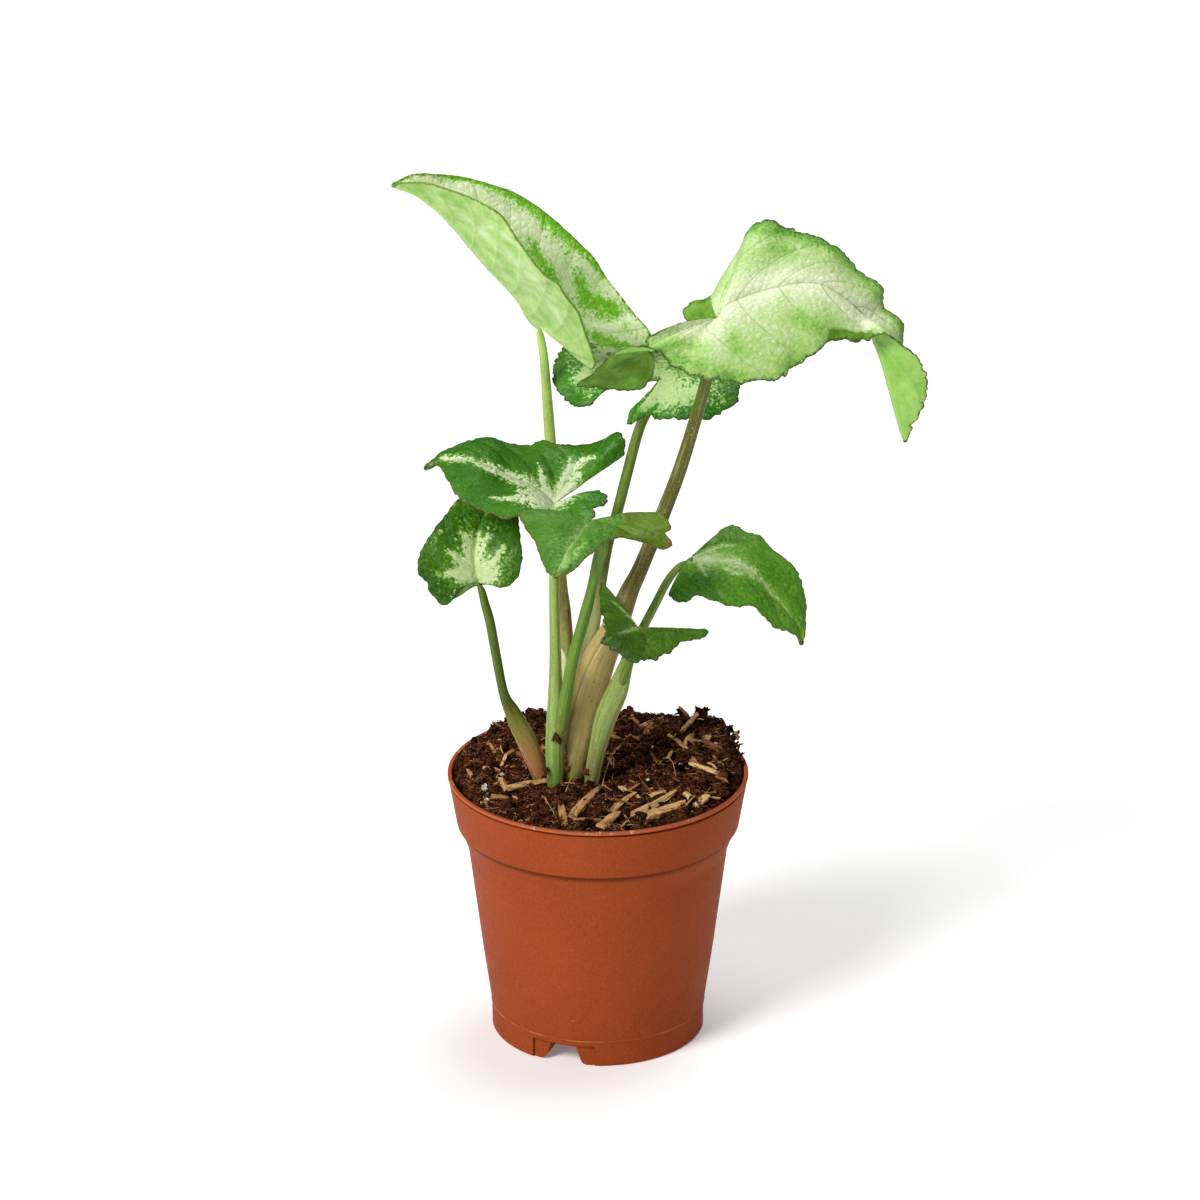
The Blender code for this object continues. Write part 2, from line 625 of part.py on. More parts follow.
def make_pot(collection):
    profile = [
        (0, FLOOR),
        (inner_radius(FLOOR) - 0.8, FLOOR),
        (inner_radius(FLOOR + 0.8), FLOOR + 0.8),
        (inner_radius(FOOT_LINE_HEIGHT + 1.9), FOOT_LINE_HEIGHT + 1.0),
        (inner_radius(FOOT_LINE_HEIGHT + 3), FOOT_LINE_HEIGHT + 3),
        (inner_radius(BODY_TOP_HEIGHT), BODY_TOP_HEIGHT),
        (inner_radius(BAND_BOTTOM_HEIGHT), BAND_BOTTOM_HEIGHT),
        (inner_radius(POT_HEIGHT - 0.3), POT_HEIGHT - 0.3),
        (RIM_RADIUS - WALL + 0.3, POT_HEIGHT),
        (RIM_RADIUS - 0.4, POT_HEIGHT),
        (RIM_RADIUS, POT_HEIGHT - 0.4),
        (RIM_RADIUS, POT_HEIGHT - 1.0),
        (RIM_RADIUS - 0.35, POT_HEIGHT - 1.3),
        (BAND_BOTTOM_RADIUS, BAND_BOTTOM_HEIGHT + 0.5),
        (BAND_BOTTOM_RADIUS - 0.3, BAND_BOTTOM_HEIGHT),
        (BODY_TOP_RADIUS, BODY_TOP_HEIGHT),
        (outer_radius(FOOT_LINE_HEIGHT + 0.4), FOOT_LINE_HEIGHT + 0.4),
        (outer_radius(FOOT_LINE_HEIGHT) + FOOT_LINE, FOOT_LINE_HEIGHT),
        (outer_radius(FOOT_LINE_HEIGHT - 0.4) + FOOT_LINE, FOOT_LINE_HEIGHT - 0.4),
        (outer_radius(1.2), 1.2),
        (FOOT_RADIUS - 0.4, 0.35),
        (FOOT_RADIUS - 1.2, 0),
        (0, 0),
    ]
    pot = turned("pot", profile, POT_STEPS, collection)
    pockets = []
    holes = []
    for angle in drain_angles():
        outer = FOOT_RADIUS - 0.6
        pockets.append(drain_block(angle, DRAIN_INNER_RADIUS, outer, WALL, FLOOR / 2, collection))
        holes.append(drain_block(angle, DRAIN_INNER_RADIUS + WALL, RIM_RADIUS, 0, -1, collection))
        holes.append(recess_cutter(angle, collection))
    boolean(pot, pockets, "UNION")
    boolean(pot, holes, "DIFFERENCE")
    return pot


def recess_cutter(angle, collection):
    """Takes a shallow step out of the foot's outer face round a drain."""
    half = RECESS_WIDTH / 2
    near = FOOT_RADIUS - 6
    far = FOOT_RADIUS + 4
    lower = [(near, -half, -1), (far, -half, -1), (far, half, -1), (near, half, -1)]
    upper = [(x, y, RECESS_HEIGHT) for x, y, _ in lower]
    cutter = block("recess", (lower, upper), collection)
    turn(cutter, angle)
    top = RECESS_HEIGHT + 2
    top_radius = outer_radius(top) - RECESS_DEPTH
    core_profile = [(0, top), (top_radius, top), (outer_radius(0) - RECESS_DEPTH, -2), (0, -2)]
    core = turned("core", core_profile, 96, collection)
    boolean(cutter, [core], "DIFFERENCE")
    return cutter


def soil_height(x, y):
    """The crumbly surface of the soil in millimetres: just under the rim in front and heaped at the back."""
    edge = inner_radius(POT_HEIGHT)
    share = min(1, math.hypot(x, y) / edge)
    height = SOIL_MIDDLE_HEIGHT + (SOIL_EDGE_HEIGHT - SOIL_MIDDLE_HEIGHT) * share ** 2.2
    height += SOIL_TILT * y / edge
    for heap_x, heap_y, rise, radius in HEAPS:
        apart = math.hypot(x - heap_x, y - heap_y) / radius
        height += rise * math.exp(-apart * apart)
    lumps = 0.55 * math.sin(0.55 * x + 1.1) * math.sin(0.5 * y - 0.4)
    lumps += 0.45 * math.sin(0.95 * x - 0.8 * y + 0.7)
    lumps += 0.35 * math.sin(1.3 * y + 0.9 * x + 2.1) * math.cos(0.7 * x)
    return height + lumps * (1 - share ** 8)


def make_soil(collection):
    edge = inner_radius(SOIL_EDGE_HEIGHT - 2) - SOIL_GAP
    top = SOIL_MIDDLE_HEIGHT
    profile = [(0, top)]
    rings = 10
    for ring in range(1, rings + 1):
        profile.append((edge * ring / rings, top))
    profile += [
        (edge, SOIL_EDGE_HEIGHT - 2),
        (inner_radius(BAND_BOTTOM_HEIGHT) - SOIL_GAP, BAND_BOTTOM_HEIGHT),
        (inner_radius(BODY_TOP_HEIGHT) - SOIL_GAP, BODY_TOP_HEIGHT),
        (inner_radius(FOOT_LINE_HEIGHT + 3) - SOIL_GAP, FOOT_LINE_HEIGHT + 3),
        (inner_radius(FOOT_LINE_HEIGHT + 1.9) - SOIL_GAP - 0.1, FOOT_LINE_HEIGHT + 1.0),
        (inner_radius(FLOOR + 0.8) - SOIL_GAP - 0.1, FLOOR + 1.2),
        (inner_radius(FLOOR) - 1.4, FLOOR + SOIL_GAP),
        (0, FLOOR + SOIL_GAP),
    ]
    soil = turned("soil", profile, SOIL_STEPS, collection)
    for vertex in soil.data.vertices:
        x, y, z = (value / MM for value in vertex.co)
        if z > SOIL_MIDDLE_HEIGHT - 0.01:
            vertex.co.z = soil_height(x, y) * MM
    boolean(soil, chips(collection), "UNION")
    cuts = []
    for angle in drain_angles():
        start = DRAIN_INNER_RADIUS - SOIL_GAP
        cuts.append(drain_block(angle, start, RIM_RADIUS, WALL + SOIL_GAP, 0, collection))
    for group in STEMS.values():
        cuts.append(make_stem("hole", group[0][-4:], collection, grow=HOLE_GAP, sink=STEM_DEPTH + HOLE_GAP))
    boolean(soil, cuts, "DIFFERENCE")
    return soil


def on_soil(across, down):
    """The point of the soil's surface on a line of sight."""
    behind = 0
    point = seen(across, down, behind)
    for _ in range(20):
        point = seen(across, down, behind)
        rise = soil_height(point.x, point.y) - point.z
        behind -= rise
    return point


def chip(start, end, width, thick, lift, collection):
    """A splinter of wood with tapered ends, half sunk into the soil."""
    along = end - start
    side = along.cross(Vector((0, 0, 1))).normalized()
    rise = side.cross(along).normalized()
    sections = ((0.0, 0.45, 0.5), (0.3, 1.0, 1.0), (0.75, 0.9, 0.9), (1.0, 0.35, 0.5))
    bm = bmesh.new()
    rings = []
    for share, wide, high in sections:
        centre = start + along * share + Vector((0, 0, lift))
        corners = []
        for across, up in ((-1, -1), (1, -1), (0.8, 1), (-0.8, 1)):
            offset = side * across * wide * width / 2
            offset += rise * up * high * thick / 2
            corners.append(bm.verts.new((centre + offset) * MM))
        rings.append(corners)
    for first, second in zip(rings, rings[1:]):
        for index in range(4):
            after = (index + 1) % 4
            bm.faces.new((first[index], first[after], second[after], second[index]))
    bm.faces.new(list(reversed(rings[0])))
    bm.faces.new(rings[-1])
    bmesh.ops.triangulate(bm, faces=bm.faces[:])
    obj = mesh_object("chip", bm, collection)
    face_outwards(obj)
    return obj


def chips(collection):
    made = []
    for x0, y0, x1, y1, width, thick in CHIPS:
        start = on_soil(x0, y0)
        end = on_soil(x1, y1)
        made.append(chip(start, end, width, thick + 1.2, 0.1, collection))
    draw = random.Random(CHIP_SEED)
    edge = inner_radius(SOIL_EDGE_HEIGHT) - 4.5
    while len(made) < len(CHIPS) + MORE_CHIPS:
        angle = draw.uniform(10, 170)
        radius = edge * math.sqrt(draw.uniform(0.15, 1))
        turn_by = draw.uniform(0, 2 * math.pi)
        length = draw.uniform(3.5, 6.5)
        x = radius * math.cos(math.radians(angle))
        y = radius * math.sin(math.radians(angle))
        start = Vector((x, y, soil_height(x, y)))
        x += length * math.cos(turn_by)
        y += length * math.sin(turn_by)
        if math.hypot(x, y) > edge:
            continue
        end = Vector((x, y, soil_height(x, y)))
        made.append(chip(start, end, draw.uniform(1.4, 2.2), 2.0, 0.1, collection))
    return made


def material(name, colour, roughness):
    made = bpy.data.materials.new(name)
    made.use_nodes = True
    shader = made.node_tree.nodes["Principled BSDF"]
    shader.inputs["Base Color"].default_value = (*colour, 1)
    shader.inputs["Roughness"].default_value = roughness
    made.diffuse_color = (*colour, 1)
    return made


def dress(obj, made):
    obj.data.materials.clear()
    obj.data.materials.append(made)
    for face in obj.data.polygons:
        face.use_smooth = True
        face.material_index = 0


LEAF_COLOURS = {
    "tall_left_leaf": (0.30, 0.52, 0.12),
    "large_right_leaf": (0.42, 0.58, 0.22),
    "back_leaf": (0.10, 0.28, 0.06),
    "middle_left_leaf": (0.06, 0.20, 0.05),
    "front_leaf": (0.10, 0.26, 0.06),
    "lower_left_leaf": (0.07, 0.20, 0.04),
    "right_leaf": (0.09, 0.26, 0.05),
    "small_leaf": (0.05, 0.17, 0.04),
}
STEM_COLOURS = {
    "tall_left_stem": (0.25, 0.27, 0.08),
    "middle_stems": (0.24, 0.19, 0.08),
    "front_stems": (0.20, 0.36, 0.08),
    "lower_left_stem": (0.17, 0.20, 0.05),
    "right_stems": (0.22, 0.36, 0.10),
}


def build():
    clear_scene()
    plant = new_collection("arrowhead_plant")
    pot = make_pot(plant)
    dress(pot, material("pot_plastic", (0.42, 0.10, 0.03), 0.5))
    soil = make_soil(plant)
    dress(soil, material("soil", (0.03, 0.012, 0.007), 0.95))
    for name, group in STEMS.items():
        leaves = [LEAVES[leaf] for leaf in SEATED[name]]
        stem = make_stem(name, group[0], plant, leaf=leaves[0], sink=STEM_DEPTH)
        if len(group) > 1:
            boolean(stem, [make_stem("branch", group[1], plant, leaf=leaves[1])], "UNION")
        dress(stem, material(name, STEM_COLOURS[name], 0.4))
    for name, leaf in LEAVES.items():
        blade = make_blade(name, leaf, plant)
        dress(blade, material(name, LEAF_COLOURS[name], 0.35))


build()
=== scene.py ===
# The looks of an arrowhead plant in its nursery pot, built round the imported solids.
# Finer blades, stems, soil and pot stand for the solids, and every surface gets its own procedural material.
import json
import math
import random

import bmesh
import bpy
import numpy as np
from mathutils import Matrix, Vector, noise

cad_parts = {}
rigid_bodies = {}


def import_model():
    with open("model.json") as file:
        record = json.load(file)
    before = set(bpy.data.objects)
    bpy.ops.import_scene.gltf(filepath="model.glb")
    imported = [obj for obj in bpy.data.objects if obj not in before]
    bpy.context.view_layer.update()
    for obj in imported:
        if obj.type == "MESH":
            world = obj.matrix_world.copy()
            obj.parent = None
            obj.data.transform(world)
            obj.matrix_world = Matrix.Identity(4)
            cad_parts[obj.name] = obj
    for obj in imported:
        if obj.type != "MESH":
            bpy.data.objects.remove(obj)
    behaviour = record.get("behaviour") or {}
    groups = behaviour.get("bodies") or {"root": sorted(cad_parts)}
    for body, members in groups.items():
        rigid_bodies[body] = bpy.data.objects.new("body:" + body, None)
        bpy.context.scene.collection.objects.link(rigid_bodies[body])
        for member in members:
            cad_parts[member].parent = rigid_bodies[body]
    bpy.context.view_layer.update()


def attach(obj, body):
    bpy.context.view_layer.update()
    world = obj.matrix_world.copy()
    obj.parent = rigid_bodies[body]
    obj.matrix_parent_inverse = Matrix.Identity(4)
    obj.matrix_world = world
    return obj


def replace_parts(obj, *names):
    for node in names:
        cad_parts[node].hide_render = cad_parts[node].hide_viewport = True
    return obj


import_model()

MM = 0.001

# Pot. Lengths are millimetres here and below. The angle is degrees from the X axis.
POT_HEIGHT = 69.9
RIM_RADIUS = 38.0
WALL = 1.0
BAND_BOTTOM_RADIUS = 35.6
BAND_BOTTOM_HEIGHT = 55.0
BODY_TOP_RADIUS = 33.0
BODY_TOP_HEIGHT = 50.6
FOOT_RADIUS = 26.7
FOOT_RIM = 0.4
FOOT_WALL = 1.9
FOOT_LINE_HEIGHT = 6.1
FLOOR = 1.4
POT_STEPS = 180
DRAINS = 3
FIRST_DRAIN_ANGLE = -109.6
DRAIN_TOP_WIDTH = 6.8
DRAIN_FOOT_WIDTH = 11.4
DRAIN_HEIGHT = 5.0
DRAIN_INNER_RADIUS = 13.0
RECESS_WIDTH = 16.6
RECESS_HEIGHT = 5.5
RECESS_DEPTH = 0.7

# Soil
SOIL_EDGE_HEIGHT = 69.0
SOIL_MIDDLE_HEIGHT = 71.3
SOIL_TILT = 1.6
HEAPS = ((-17, 21, 3.6, 10), (25, 15, 4.8, 12), (-31, 4, 2.2, 9), (31, -2, 1.2, 8))
RIM_HEAPS = ((31, 12, 2.4, 6), (29, 18, 1.2, 5))
SOIL_GAP = 0.3
RIM_SINK = 2.6
SOIL_RINGS = 130
SOIL_STEPS = 380

# Leaves
LEAF_THICKNESS = 0.4
EDGE_STEP = 0.6
FAN_CUTS = 8
CROSS_STEPS = 30
FULL_PUFF_WIDTH = 12
TIP_TAPER = 4
TOOTH_LENGTH = 1.1
NOTCH_LENGTH = 2.6
RUFFLE_LENGTH = 5.5
WIDEST_GAP = 40
FIRST_VEIN = 0.35
VEIN_DIP_WIDTH = 1.3
GROOVE_WIDTH = 0.8
GRAIN_RISE = 0.07
GRAINS_PER_METRE = 900
RIB_RISE = 0.55
RIB_RISE_WIDTH = 0.75
VEIN_RISE = 0.16
VEIN_RISE_WIDTH = 0.5

# Stems
STEM_SIDES = 60
STEM_RING_STEP = 0.5
STEM_TOP_OVERLAP = 0.55
STEM_TOP_LENGTH = 2.5
FAR_FROM_EDGE = 9.0

# Stage: places and sizes are metres here, a lamp's strength is watts, and the sensor's width is millimetres.
WORLD_LIGHT = 0.1
LAMPS = {"key": ((-1.6, -1.6, 2.1), 1.3, 84), "top": ((0.3, 0.5, 2.3), 1.4, 33)}
LAMPS_AIM = (0, 0, 0.12)
FLOOR_GLOW = 0.16
FLOOR_HALF = 3.0
SENSOR_WIDTH = 36

# How the outlines were read: steps across and down a square picture of the plant, seen from above the front.
# One step is STEP_SIZE millimetres where the line of sight meets the pot's axis.
# A third number is how far that point lies behind the pot's axis, in millimetres.
PICTURE_MIDDLE = 600
STEP_SIZE = 0.2495
SIGHT_TILT = math.radians(22.5)
SIGHT_LENGTH = 1500
AIM = Vector((0.5, 0, 116.4))

# Every half starts at the lobe's inner corner, goes round the lobe and ends at the leaf's tip.
# fan is the number of edge points whose cross lines start where the stem meets the blade.
# mids bend single cross lines through a point, and puff bows the others to the upper side.
# crease is how sharply the cross lines are folded there, from 0 to 1, and the first and last edge point for
# which they are.
TALL_LEFT_LEAF = {
    "face": (0.6, 0.1, 0.8),
    "rib": [(540, 326, 17), (532, 319, 16.5), (518, 296, 15), (485, 261, 12), (449, 219, 9),
            (420, 195, 7), (393, 184, 6)],
    "near": {
        "edge": [(592, 370, 3), (596, 362, 0), (587, 337, -3), (579, 314, -5), (567, 297, -6),
                 (558, 284, -7), (546, 276, -7), (533, 261, -7), (516, 237, -6), (499, 213, -5),
                 (476, 200, -3), (454, 191, -1), (432, 184, 1), (410, 182, 4), (393, 184, 6)],
        "fan": 2, "puff": -0.6,
        "mids": {0: (565, 347, 9.5), 1: (566, 344, 6)},
    },
    "far": {
        "edge": [(645, 352, 25), (651, 334, 26), (634, 313, 27), (619, 293, 27), (606, 276, 27),
                 (594, 257, 26), (581, 244, 25), (562, 226, 24), (543, 210, 23), (514, 192, 21),
                 (484, 182, 18), (453, 175, 15), (414, 174, 9), (393, 184, 6)],
        "fan": 2, "puff": -0.8,
        "mids": {0: (593, 343, 21.5), 1: (594, 328, 22)},
    },
}
LARGE_RIGHT_LEAF = {
    "face": (0.1, -0.5, 0.8),
    "rib": [(717, 318, -4), (724, 306, -3), (742, 297, -1), (763, 290, 1), (783, 285, 2), (804, 282, 4),
            (824, 285, 5), (844, 297, 6), (860, 311, 7), (868, 321, 7), (874, 335, 6), (883, 359, 4),
            (889, 380, 3), (898, 414, 2), (906, 441, 2)],
    "near": {
        "edge": [(652, 336, -12), (644, 342, -13), (649, 350, -14), (654, 361, -13.5), (654, 373, -13),
                 (648, 385, -12), (630, 392, -12), (608, 390, -12), (590, 387, -13), (575, 387, -14),
                 (589, 376, -15), (603, 361, -16), (621, 349, -16), (640, 346, -16), (654, 351, -15.5),
                 (671, 367, -16.5), (702, 380, -17), (742, 385, -15), (779, 381, -12), (795, 368, -9),
                 (814, 356, -7), (832, 342, -3), (852, 343, -1), (871, 341, 0), (885, 334, -2),
                 (905, 347, -1), (922, 359, 0), (929, 386, -1), (925, 406, -1), (916, 424, 0), (906, 441, 2)],
        "fan": 16, "puff": 1.2, "crease": (1, 1, 14),
        "mids": {0: (684, 322, -8), 1: (658, 335, -11.2), 2: (647, 343, -13), 3: (647.6, 344, -13.2),
                 4: (648.1, 344.7, -13.4), 5: (648.6, 345.4, -13.6), 6: (649.1, 346.1, -13.8),
                 7: (649.6, 346.8, -14), 8: (650.1, 347.5, -14.2), 9: (650.6, 348.1, -14.4),
                 10: (651.1, 348.7, -14.6), 11: (651.7, 349.2, -14.8), 12: (652.4, 349.7, -15),
                 13: (655, 350, -14.8), 14: (668, 345, -13), 15: (691, 346, -11)},
    },
    "far": {
        "edge": [(690, 323, 4), (684, 318, 5), (684, 309, 6.5), (690, 302.5, 8), (698, 300, 10),
                 (709, 300, 13), (726, 291, 17), (742, 272, 20), (750, 252, 20), (745, 237, 17),
                 (757, 223, 15), (771, 220, 15), (795, 228, 17), (820, 238, 18), (840, 249, 18),
                 (861, 271, 18), (882, 287, 16), (886, 306, 14), (902, 320, 12), (904, 336, 11),
                 (904, 362, 9), (908, 394, 7), (906, 422, 4), (906, 441, 2)],
        "fan": 9, "puff": 1.0,
        "mids": {0: (704, 320.5, 0), 1: (701, 318, 1), 2: (701, 313, 2), 3: (704, 308, 3), 4: (706, 304, 4),
                 5: (709, 300, 5), 6: (712, 296, 7), 7: (719, 282, 9), 8: (731, 264, 11), 9: (739, 255, 12)},
    },
}
BACK_LEAF = {
    "face": (0, -0.4, 0.9),
    "rib": [(661, 379, 16), (658, 366, 24), (655, 356, 32), (652, 347, 40), (648, 340, 46)],
    "near": {
        "edge": [(599, 391, 12), (591, 404, 9), (582, 408, 9), (566, 402, 12), (553, 387, 16),
                 (551, 371, 21), (561, 350, 28), (580, 338, 34), (606, 332, 40), (630, 333, 44),
                 (648, 340, 46)],
        "fan": 4, "puff": 1.2,
        "mids": {0: (630, 376, 16), 1: (624, 379, 14), 2: (613, 380, 13)},
    },
    "far": {
        "edge": [(630, 411, 8), (627, 427, 5), (643, 418, 7), (660, 421, 7), (690, 421, 6), (711, 420, 6),
                 (737, 403, 9), (743, 385, 14), (738, 368, 21), (722, 352, 29), (700, 342, 36),
                 (675, 338, 42), (648, 340, 46)],
        "fan": 6, "puff": 1.2,
    },
}
MIDDLE_LEFT_LEAF = {
    "face": (0, -0.4, 0.9),
    "rib": [(554, 504, -8), (546, 494, -7), (533, 485, -6), (516, 478, -5), (496, 468, -4),
            (479, 461, -3), (461, 459, -2), (441, 461, -1), (424, 469, -1)],
    "near": {
        "edge": [(600, 490, -3), (608, 496, -5), (607, 504, -8), (596, 509, -11), (593, 520, -15),
                 (570, 527, -19), (545, 525, -20), (519, 517, -20), (504, 518, -20), (489, 515, -18),
                 (473, 509, -16), (457, 497, -13), (447, 480, -8), (437, 467, -3), (424, 469, -1)],
        "fan": 6, "puff": 0.9,
    },
    "far": {
        "edge": [(625, 455, 7), (625, 437, 10), (616, 433, 12), (600, 441, 12), (577, 444, 10),
                 (558, 444, 9), (541, 439, 10), (526, 445, 9), (505, 442, 9), (489, 437, 9),
                 (468, 441, 7), (446, 449, 4), (427, 463, 0), (424, 469, -1)],
        "fan": 5, "puff": 0.9,
    },
}
FRONT_LEAF = {
    "face": (-0.1, -0.4, 0.9),
    "rib": [(593, 520, -20), (586, 526, -24), (577, 537, -31), (567, 551, -39), (560, 565, -46),
            (555, 577, -50)],
    "near": {
        "edge": [(545, 510, -20), (520, 513, -23), (524, 526, -28), (534, 542, -35), (540, 558, -42),
                 (547, 573, -48), (555, 577, -50)],
        "fan": 2, "puff": 1.0,
        "mids": {0: (568, 513, -19.5)},
    },
    "far": {
        "edge": [(658, 512, -19), (666, 517, -20), (672, 529, -22), (666, 534, -23), (673, 543, -25),
                 (665, 549, -26), (644, 543, -28), (620, 537, -31), (606, 542, -34), (588, 557, -41),
                 (573, 571, -47), (563, 576, -49), (555, 577, -50)],
        "fan": 7, "puff": 0.8, "crease": (0.6, -1, 7),
        "mids": {0: (626, 513, -18), 1: (632, 520, -19.5), 2: (635, 526, -21.5), 3: (634, 529, -23),
                 4: (631, 532, -24), 5: (625, 534, -25)},
    },
}
LOWER_LEFT_LEAF = {
    "face": (0, -0.9, 0.4),
    "rib": [(478, 583, -8), (475, 572, -8), (474, 560, -7), (475, 545, -5), (479, 528, -2), (487, 510, 2),
            (497, 496, 6)],
    "near": {
        "edge": [(450, 603, -12), (441, 605, -12), (429, 592, -12), (427, 583, -11), (418, 574, -11),
                 (418, 556, -9), (430, 534, -6), (443, 517, -3), (457, 500, 1), (477, 492, 5),
                 (497, 496, 6)],
        "fan": 4, "puff": 0.9,
        "mids": {0: (464, 587, -10.5)},
    },
    "far": {
        "edge": [(501, 588, -10), (511, 585, -10), (520, 574, -9), (523, 556, -8), (521, 538, -5),
                 (519, 518, -1), (510, 504, 4), (497, 496, 6)],
        "fan": 3, "puff": 0.9,
    },
}
RIGHT_LEAF = {
    "face": (0.2, -0.5, 0.8),
    "rib": [(689, 560, 0), (703, 561, 0), (721, 562, -1), (738, 564, -2), (752, 571, -2), (768, 588, -3),
            (784, 606, -4), (796, 624, -5), (803, 645, -6)],
    "near": {
        "edge": [(668, 595, -6), (674, 601, -8), (684, 604, -9), (698, 597, -9), (713, 602, -11),
                 (733, 608, -12), (752, 607, -11), (765, 618, -11), (775, 629, -10), (791, 634, -8),
                 (803, 645, -6)],
        "fan": 3, "puff": 0.9,
    },
    "far": {
        "edge": [(719, 531, 12), (727, 527, 13), (736, 525, 14), (748, 532, 13), (762, 536, 13),
                 (774, 551, 11), (786, 559, 9), (797, 570, 7), (803, 587, 4), (807, 612, 0),
                 (806, 631, -4), (803, 645, -6)],
        "fan": 2, "puff": 0.4,
        "mids": {0: (708, 549, 6.5)},
    },
}
SMALL_LEAF = {
    "face": (-0.2, -0.3, 0.9),
    "rib": [(638, 628, -18), (630, 629, -21), (621, 632, -26), (611, 637, -32), (602, 642, -37)],
    "near": {
        "edge": [(601, 581, -2), (598, 598, -8), (601, 613, -16), (603, 625, -24), (603, 635, -31),
                 (602, 642, -37)],
        "fan": 1, "puff": 0.5,
        "mids": {0: (620, 603, -9)},
    },
    "far": {
        "edge": [(705, 629, -14.5), (710, 630.5, -14.8), (711, 634.5, -15.2), (706, 638, -16),
                 (697, 640, -17), (682, 644, -19), (673, 652, -21), (660, 660, -23), (646, 662, -25),
                 (632, 663, -28), (620, 656, -31), (608, 648, -35), (602, 642, -37)],
        "fan": 7, "puff": 0.6,
        "mids": {0: (674, 630, -16)},
    },
}
LEAVES = {
    "tall_left_leaf": TALL_LEFT_LEAF,
    "large_right_leaf": LARGE_RIGHT_LEAF,
    "back_leaf": BACK_LEAF,
    "middle_left_leaf": MIDDLE_LEFT_LEAF,
    "front_leaf": FRONT_LEAF,
    "lower_left_leaf": LOWER_LEFT_LEAF,
    "right_leaf": RIGHT_LEAF,
    "small_leaf": SMALL_LEAF,
}

# Stems run from the blade to the soil. Each point is across, down, how far behind, and then the width and the
# depth of the section in millimetres.
TALL_LEFT_STEM = [(540, 326, 17, 1.7, 1.7), (542, 345, 16.5, 2.1, 2.0), (545, 370, 15.5, 2.3, 2.2),
                  (550, 437, 13.5, 2.8, 2.6), (556, 520, 9, 2.8, 2.7), (561, 578, 6, 2.9, 2.8),
                  (566, 640, 4, 3.3, 3.0), (567, 690, 2.5, 3.8, 3.2), (565, 740, 1.5, 3.8, 3.4),
                  (563, 768, 1, 3.6, 3.4)]
LARGE_RIGHT_STEM = [(717, 318, -4, 1.8, 1.8), (713, 345, -5.5, 2.5, 2.4), (708, 375, -6, 2.9, 2.7),
                    (683, 460, -5, 3.4, 3.1), (664, 511, -4, 3.7, 3.3), (641, 567, -4, 4.0, 3.5),
                    (629, 592, -4, 4.8, 3.8), (614, 628, -4, 6.2, 4.2), (598, 660, -4.5, 8.2, 4.2),
                    (587, 696, -5.5, 8.6, 4.2), (578, 736, -6.2, 7.0, 4.4), (574, 775, -7, 4.8, 4.2)]
BACK_STEM = [(661, 379, 16, 1.6, 1.6), (656, 397, 14, 2.1, 2.0), (640, 427, 11, 2.6, 2.4),
             (627, 474, 7, 2.7, 2.5), (618, 509, 4, 2.7, 2.5), (608, 545, 2, 2.6, 2.5),
             (600, 590, 0, 2.7, 2.5), (592, 630, -2, 3.6, 2.8), (584, 670, -4, 3.6, 2.8),
             (577, 710, -6, 3.2, 2.8)]
MIDDLE_LEFT_STEM = [(554, 504, -8, 1.6, 1.6), (554, 518, -9, 1.9, 1.9), (554, 545, -10, 2.2, 2.1),
                    (554, 600, -10, 2.4, 2.3), (555, 660, -10, 2.8, 2.6), (555, 710, -10, 4.0, 3.2),
                    (554, 750, -10, 4.4, 3.6), (555, 778, -10, 4.0, 3.6)]
FRONT_STEM = [(593, 520, -20, 1.7, 1.6), (599, 530, -21, 2.5, 2.3), (602, 545, -21, 3.2, 2.9),
              (598, 562, -20, 3.0, 2.8), (592, 587, -18.5, 2.5, 2.5), (585, 615, -17, 2.9, 2.8),
              (574, 655, -15, 2.8, 2.8), (566, 695, -13, 3.1, 2.9), (560, 730, -11, 3.2, 3.0)]
LOWER_LEFT_STEM = [(478, 583, -8, 1.5, 1.5), (482, 592, -9, 1.9, 1.9), (485, 604, -9.5, 2.2, 2.1),
                   (490, 622, -10, 2.4, 2.2), (497, 660, -10, 2.4, 2.3), (504, 694, -10, 2.5, 2.4),
                   (513, 713, -8.8, 4.0, 2.8), (527, 742, -7, 5.0, 3.2), (536, 764, -6, 4.6, 3.3),
                   (541, 781, -5.4, 3.7, 3.3)]
RIGHT_STEM = [(689, 560, 0, 1.5, 1.5), (678, 568, -1.5, 1.9, 1.9), (667, 582, -3, 2.1, 2.0),
              (656, 603, -5, 2.2, 2.1), (642, 630, -8, 2.4, 2.3), (628, 660, -9, 3.4, 3.0),
              (618, 688, -10, 5.0, 3.4), (606, 716, -10.5, 5.2, 3.6), (598, 745, -10.5, 4.2, 3.6),
              (592, 777, -9.8, 3.6, 3.4)]
SMALL_STEM = [(638, 628, -18, 1.3, 1.3), (637, 638, -17.5, 1.7, 1.6), (634, 650, -15.5, 2.0, 1.9),
              (628, 666, -12.5, 2.2, 2.1), (620, 688, -10, 2.4, 2.4)]
SHEATH_TIP = [(562, 648, -11.5, 0.5, 0.5), (564, 656, -12, 1.3, 0.9), (566, 668, -12.2, 2.2, 1.1),
              (567, 684, -12, 2.4, 1.3), (566, 704, -11, 2.0, 1.4)]

